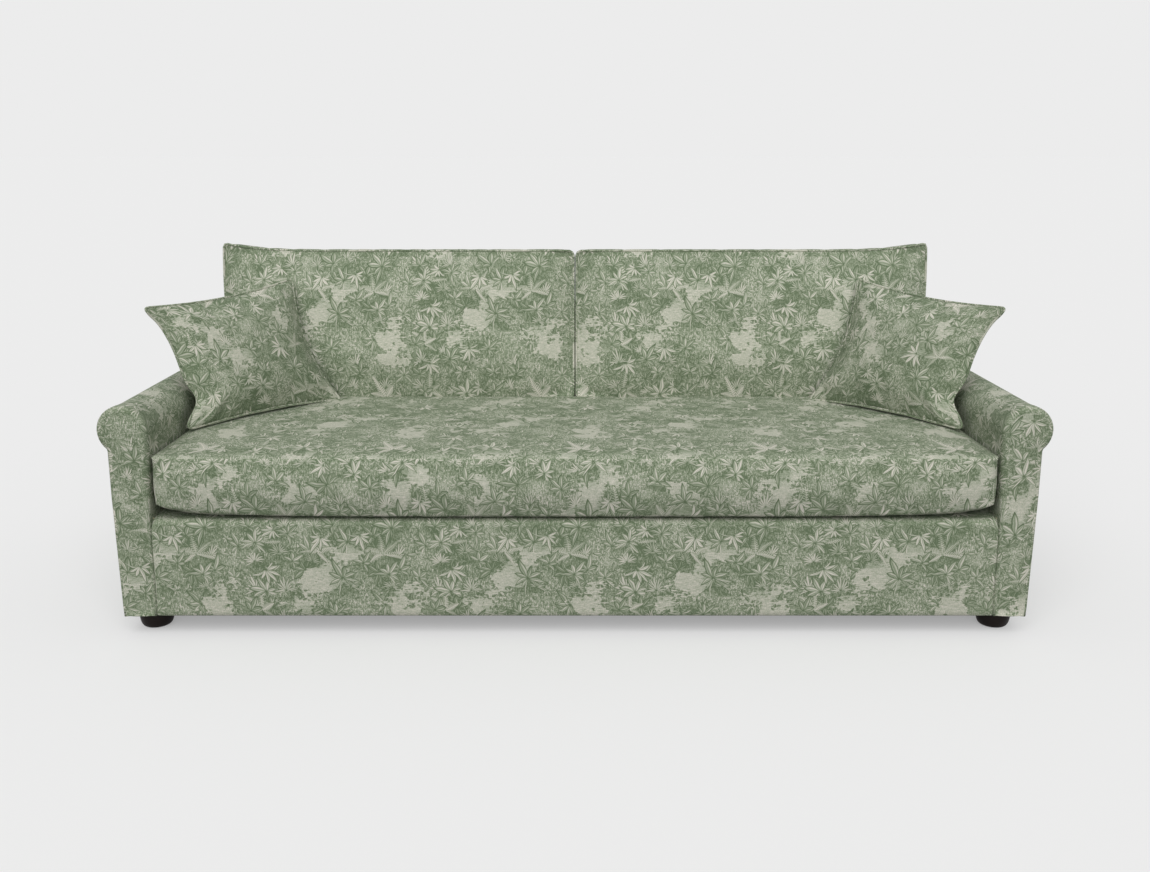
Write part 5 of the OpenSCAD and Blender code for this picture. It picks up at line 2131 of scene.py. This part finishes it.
@dataclass
class Studio:
    """Floor, background, lamp and camera.

    Attributes:
        seen_shade: Background, and the floor's glow, as the camera sees them.
        floor_shade: The floor, as the camera sees it.
        hidden_shade: The floor, as light thrown back on the sofa sees it.
        floor_size: Length of the floor's sides.
        glow: Share of the floor's look that no shadow falls on.
        sky_strength: Strength of the even light.
        key_strength: Strength of the lamp.
        key_elevation: Height of the lamp over the horizon, in degrees.
        key_azimuth: Turn of the lamp from the front to the right, in degrees.
        key_softness: How wide the lamp looks, in degrees.
        camera_place: Place of the camera.
        camera_tilt: How far the camera looks down, in degrees.
        lens: Focal length, in millimetres.
        sensor: Width of the sensor, in millimetres.
    """

    seen_shade: Shade = (236, 236, 236)
    floor_shade: Shade = (244, 244, 244)
    hidden_shade: Shade = (110, 110, 110)
    floor_size: float = 400.0
    glow: float = 0.36
    sky_strength: float = 0.46
    key_strength: float = 2.35
    key_elevation: float = 39.0
    key_azimuth: float = -4.0
    key_softness: float = 70.0
    camera_place: tuple[float, float, float] = (0.0, -3.200, 1.234)
    camera_tilt: float = 14.35
    lens: float = 35.0
    sensor: float = 36.0

    def seen(self, tree: bpy.types.NodeTree) -> bpy.types.NodeSocket:
        """A signal that is 1 where the camera looks, also in glass or by a reflection."""
        path = tree.nodes.new("ShaderNodeLightPath")
        rays = [Signal(tree, path.outputs[f"Is {kind} Ray"]) for kind in ("Camera", "Glossy", "Transmission")]
        return rays[0].math("MAXIMUM", rays[1]).math("MAXIMUM", rays[2]).socket

    def mixed(
        self,
        tree: bpy.types.NodeTree,
        share: bpy.types.NodeSocket | float,
        first: bpy.types.NodeSocket,
        second: bpy.types.NodeSocket,
    ) -> bpy.types.NodeSocket:
        """Mixes two surfaces.

        Args:
            tree: Node tree that holds them.
            share: Share of the second.
            first: First surface.
            second: Second surface.

        Returns:
            The mixed surface.
        """
        mix = tree.nodes.new("ShaderNodeMixShader")
        if isinstance(share, float):
            mix.inputs[0].default_value = share
        else:
            tree.links.new(share, mix.inputs[0])
        tree.links.new(first, mix.inputs[1])
        tree.links.new(second, mix.inputs[2])
        return mix.outputs[0]

    def floor(self) -> None:
        """A wide pale floor that keeps the sofa's shadow and throws little light back on it."""
        bpy.ops.object.select_all(action="DESELECT")
        bpy.ops.mesh.primitive_plane_add(size=self.floor_size, location=(0, 0, 0))
        floor = bpy.context.active_object
        floor.name = "studio_floor"
        shader = Shader("studio_floor")
        tree = shader.tree
        floor.data.materials.append(shader.finish(self.hidden_shade, 0.9, specular_ior_level=0.0))
        pale = tree.nodes.new("ShaderNodeBsdfDiffuse")
        pale.inputs["Color"].default_value = (*screen(self.floor_shade), 1.0)
        glow = tree.nodes.new("ShaderNodeEmission")
        glow.inputs["Color"].default_value = (*screen(self.seen_shade), 1.0)
        lit = self.mixed(tree, self.glow, pale.outputs[0], glow.outputs[0])
        surface = self.mixed(tree, self.seen(tree), shader.surface.outputs[0], lit)
        tree.links.new(surface, tree.nodes["Material Output"].inputs["Surface"])

    def sky(self) -> None:
        """Even light from all sides, and a plain background."""
        world = bpy.data.worlds.new("studio")
        bpy.context.scene.world = world
        world.use_nodes = True
        tree = world.node_tree
        light = tree.nodes["Background"]
        light.inputs["Color"].default_value = (1.0, 1.0, 1.0, 1.0)
        light.inputs["Strength"].default_value = self.sky_strength
        seen = tree.nodes.new("ShaderNodeBackground")
        seen.inputs["Color"].default_value = (*screen(self.seen_shade), 1.0)
        surface = self.mixed(tree, self.seen(tree), light.outputs[0], seen.outputs[0])
        tree.links.new(surface, tree.nodes["World Output"].inputs[0])

    def lamp(self) -> None:
        """A wide soft lamp far away."""
        data = bpy.data.lights.new("key", "SUN")
        data.energy = self.key_strength
        data.angle = math.radians(self.key_softness)
        lamp = bpy.data.objects.new("key", data)
        lamp.rotation_euler = (math.radians(90 - self.key_elevation), 0.0, math.radians(self.key_azimuth))
        bpy.context.scene.collection.objects.link(lamp)

    def camera(self) -> None:
        """The camera at the photograph's place."""
        data = bpy.data.cameras.new("camera")
        data.lens = self.lens
        data.sensor_width = self.sensor
        camera = bpy.data.objects.new("camera", data)
        camera.location = self.camera_place
        camera.rotation_euler = (math.radians(90 - self.camera_tilt), 0.0, 0.0)
        bpy.context.scene.collection.objects.link(camera)
        bpy.context.scene.camera = camera

    def build(self) -> None:
        """Sets up the studio."""
        self.camera()
        self.floor()
        self.sky()
        self.lamp()
        bpy.context.scene.view_settings.view_transform = "Standard"


def main() -> None:
    """Builds the sofa's looks and reports each piece."""
    logging.basicConfig(level=logging.INFO, format="%(message)s")
    Studio().build()
    finishes = Finishes()
    finishes.dress_nodes()
    assemblies: list[Piece] = [
        Base(finishes),
        Arm(finishes, side=Side.LEFT),
        Arm(finishes, side=Side.RIGHT),
        Back(finishes),
        Feet(finishes),
        SeatCushion(finishes),
        BackCushion(finishes, side=Side.LEFT),
        BackCushion(finishes, side=Side.RIGHT),
        ScatterCushion(finishes, side=Side.LEFT),
        ScatterCushion(finishes, side=Side.RIGHT),
    ]
    for assembly in assemblies:
        assembly.build()
        for piece in assembly.made:
            log.info("%s: %d faces", piece.name, len(piece.data.polygons))


if __name__ == "__main__":
    main()
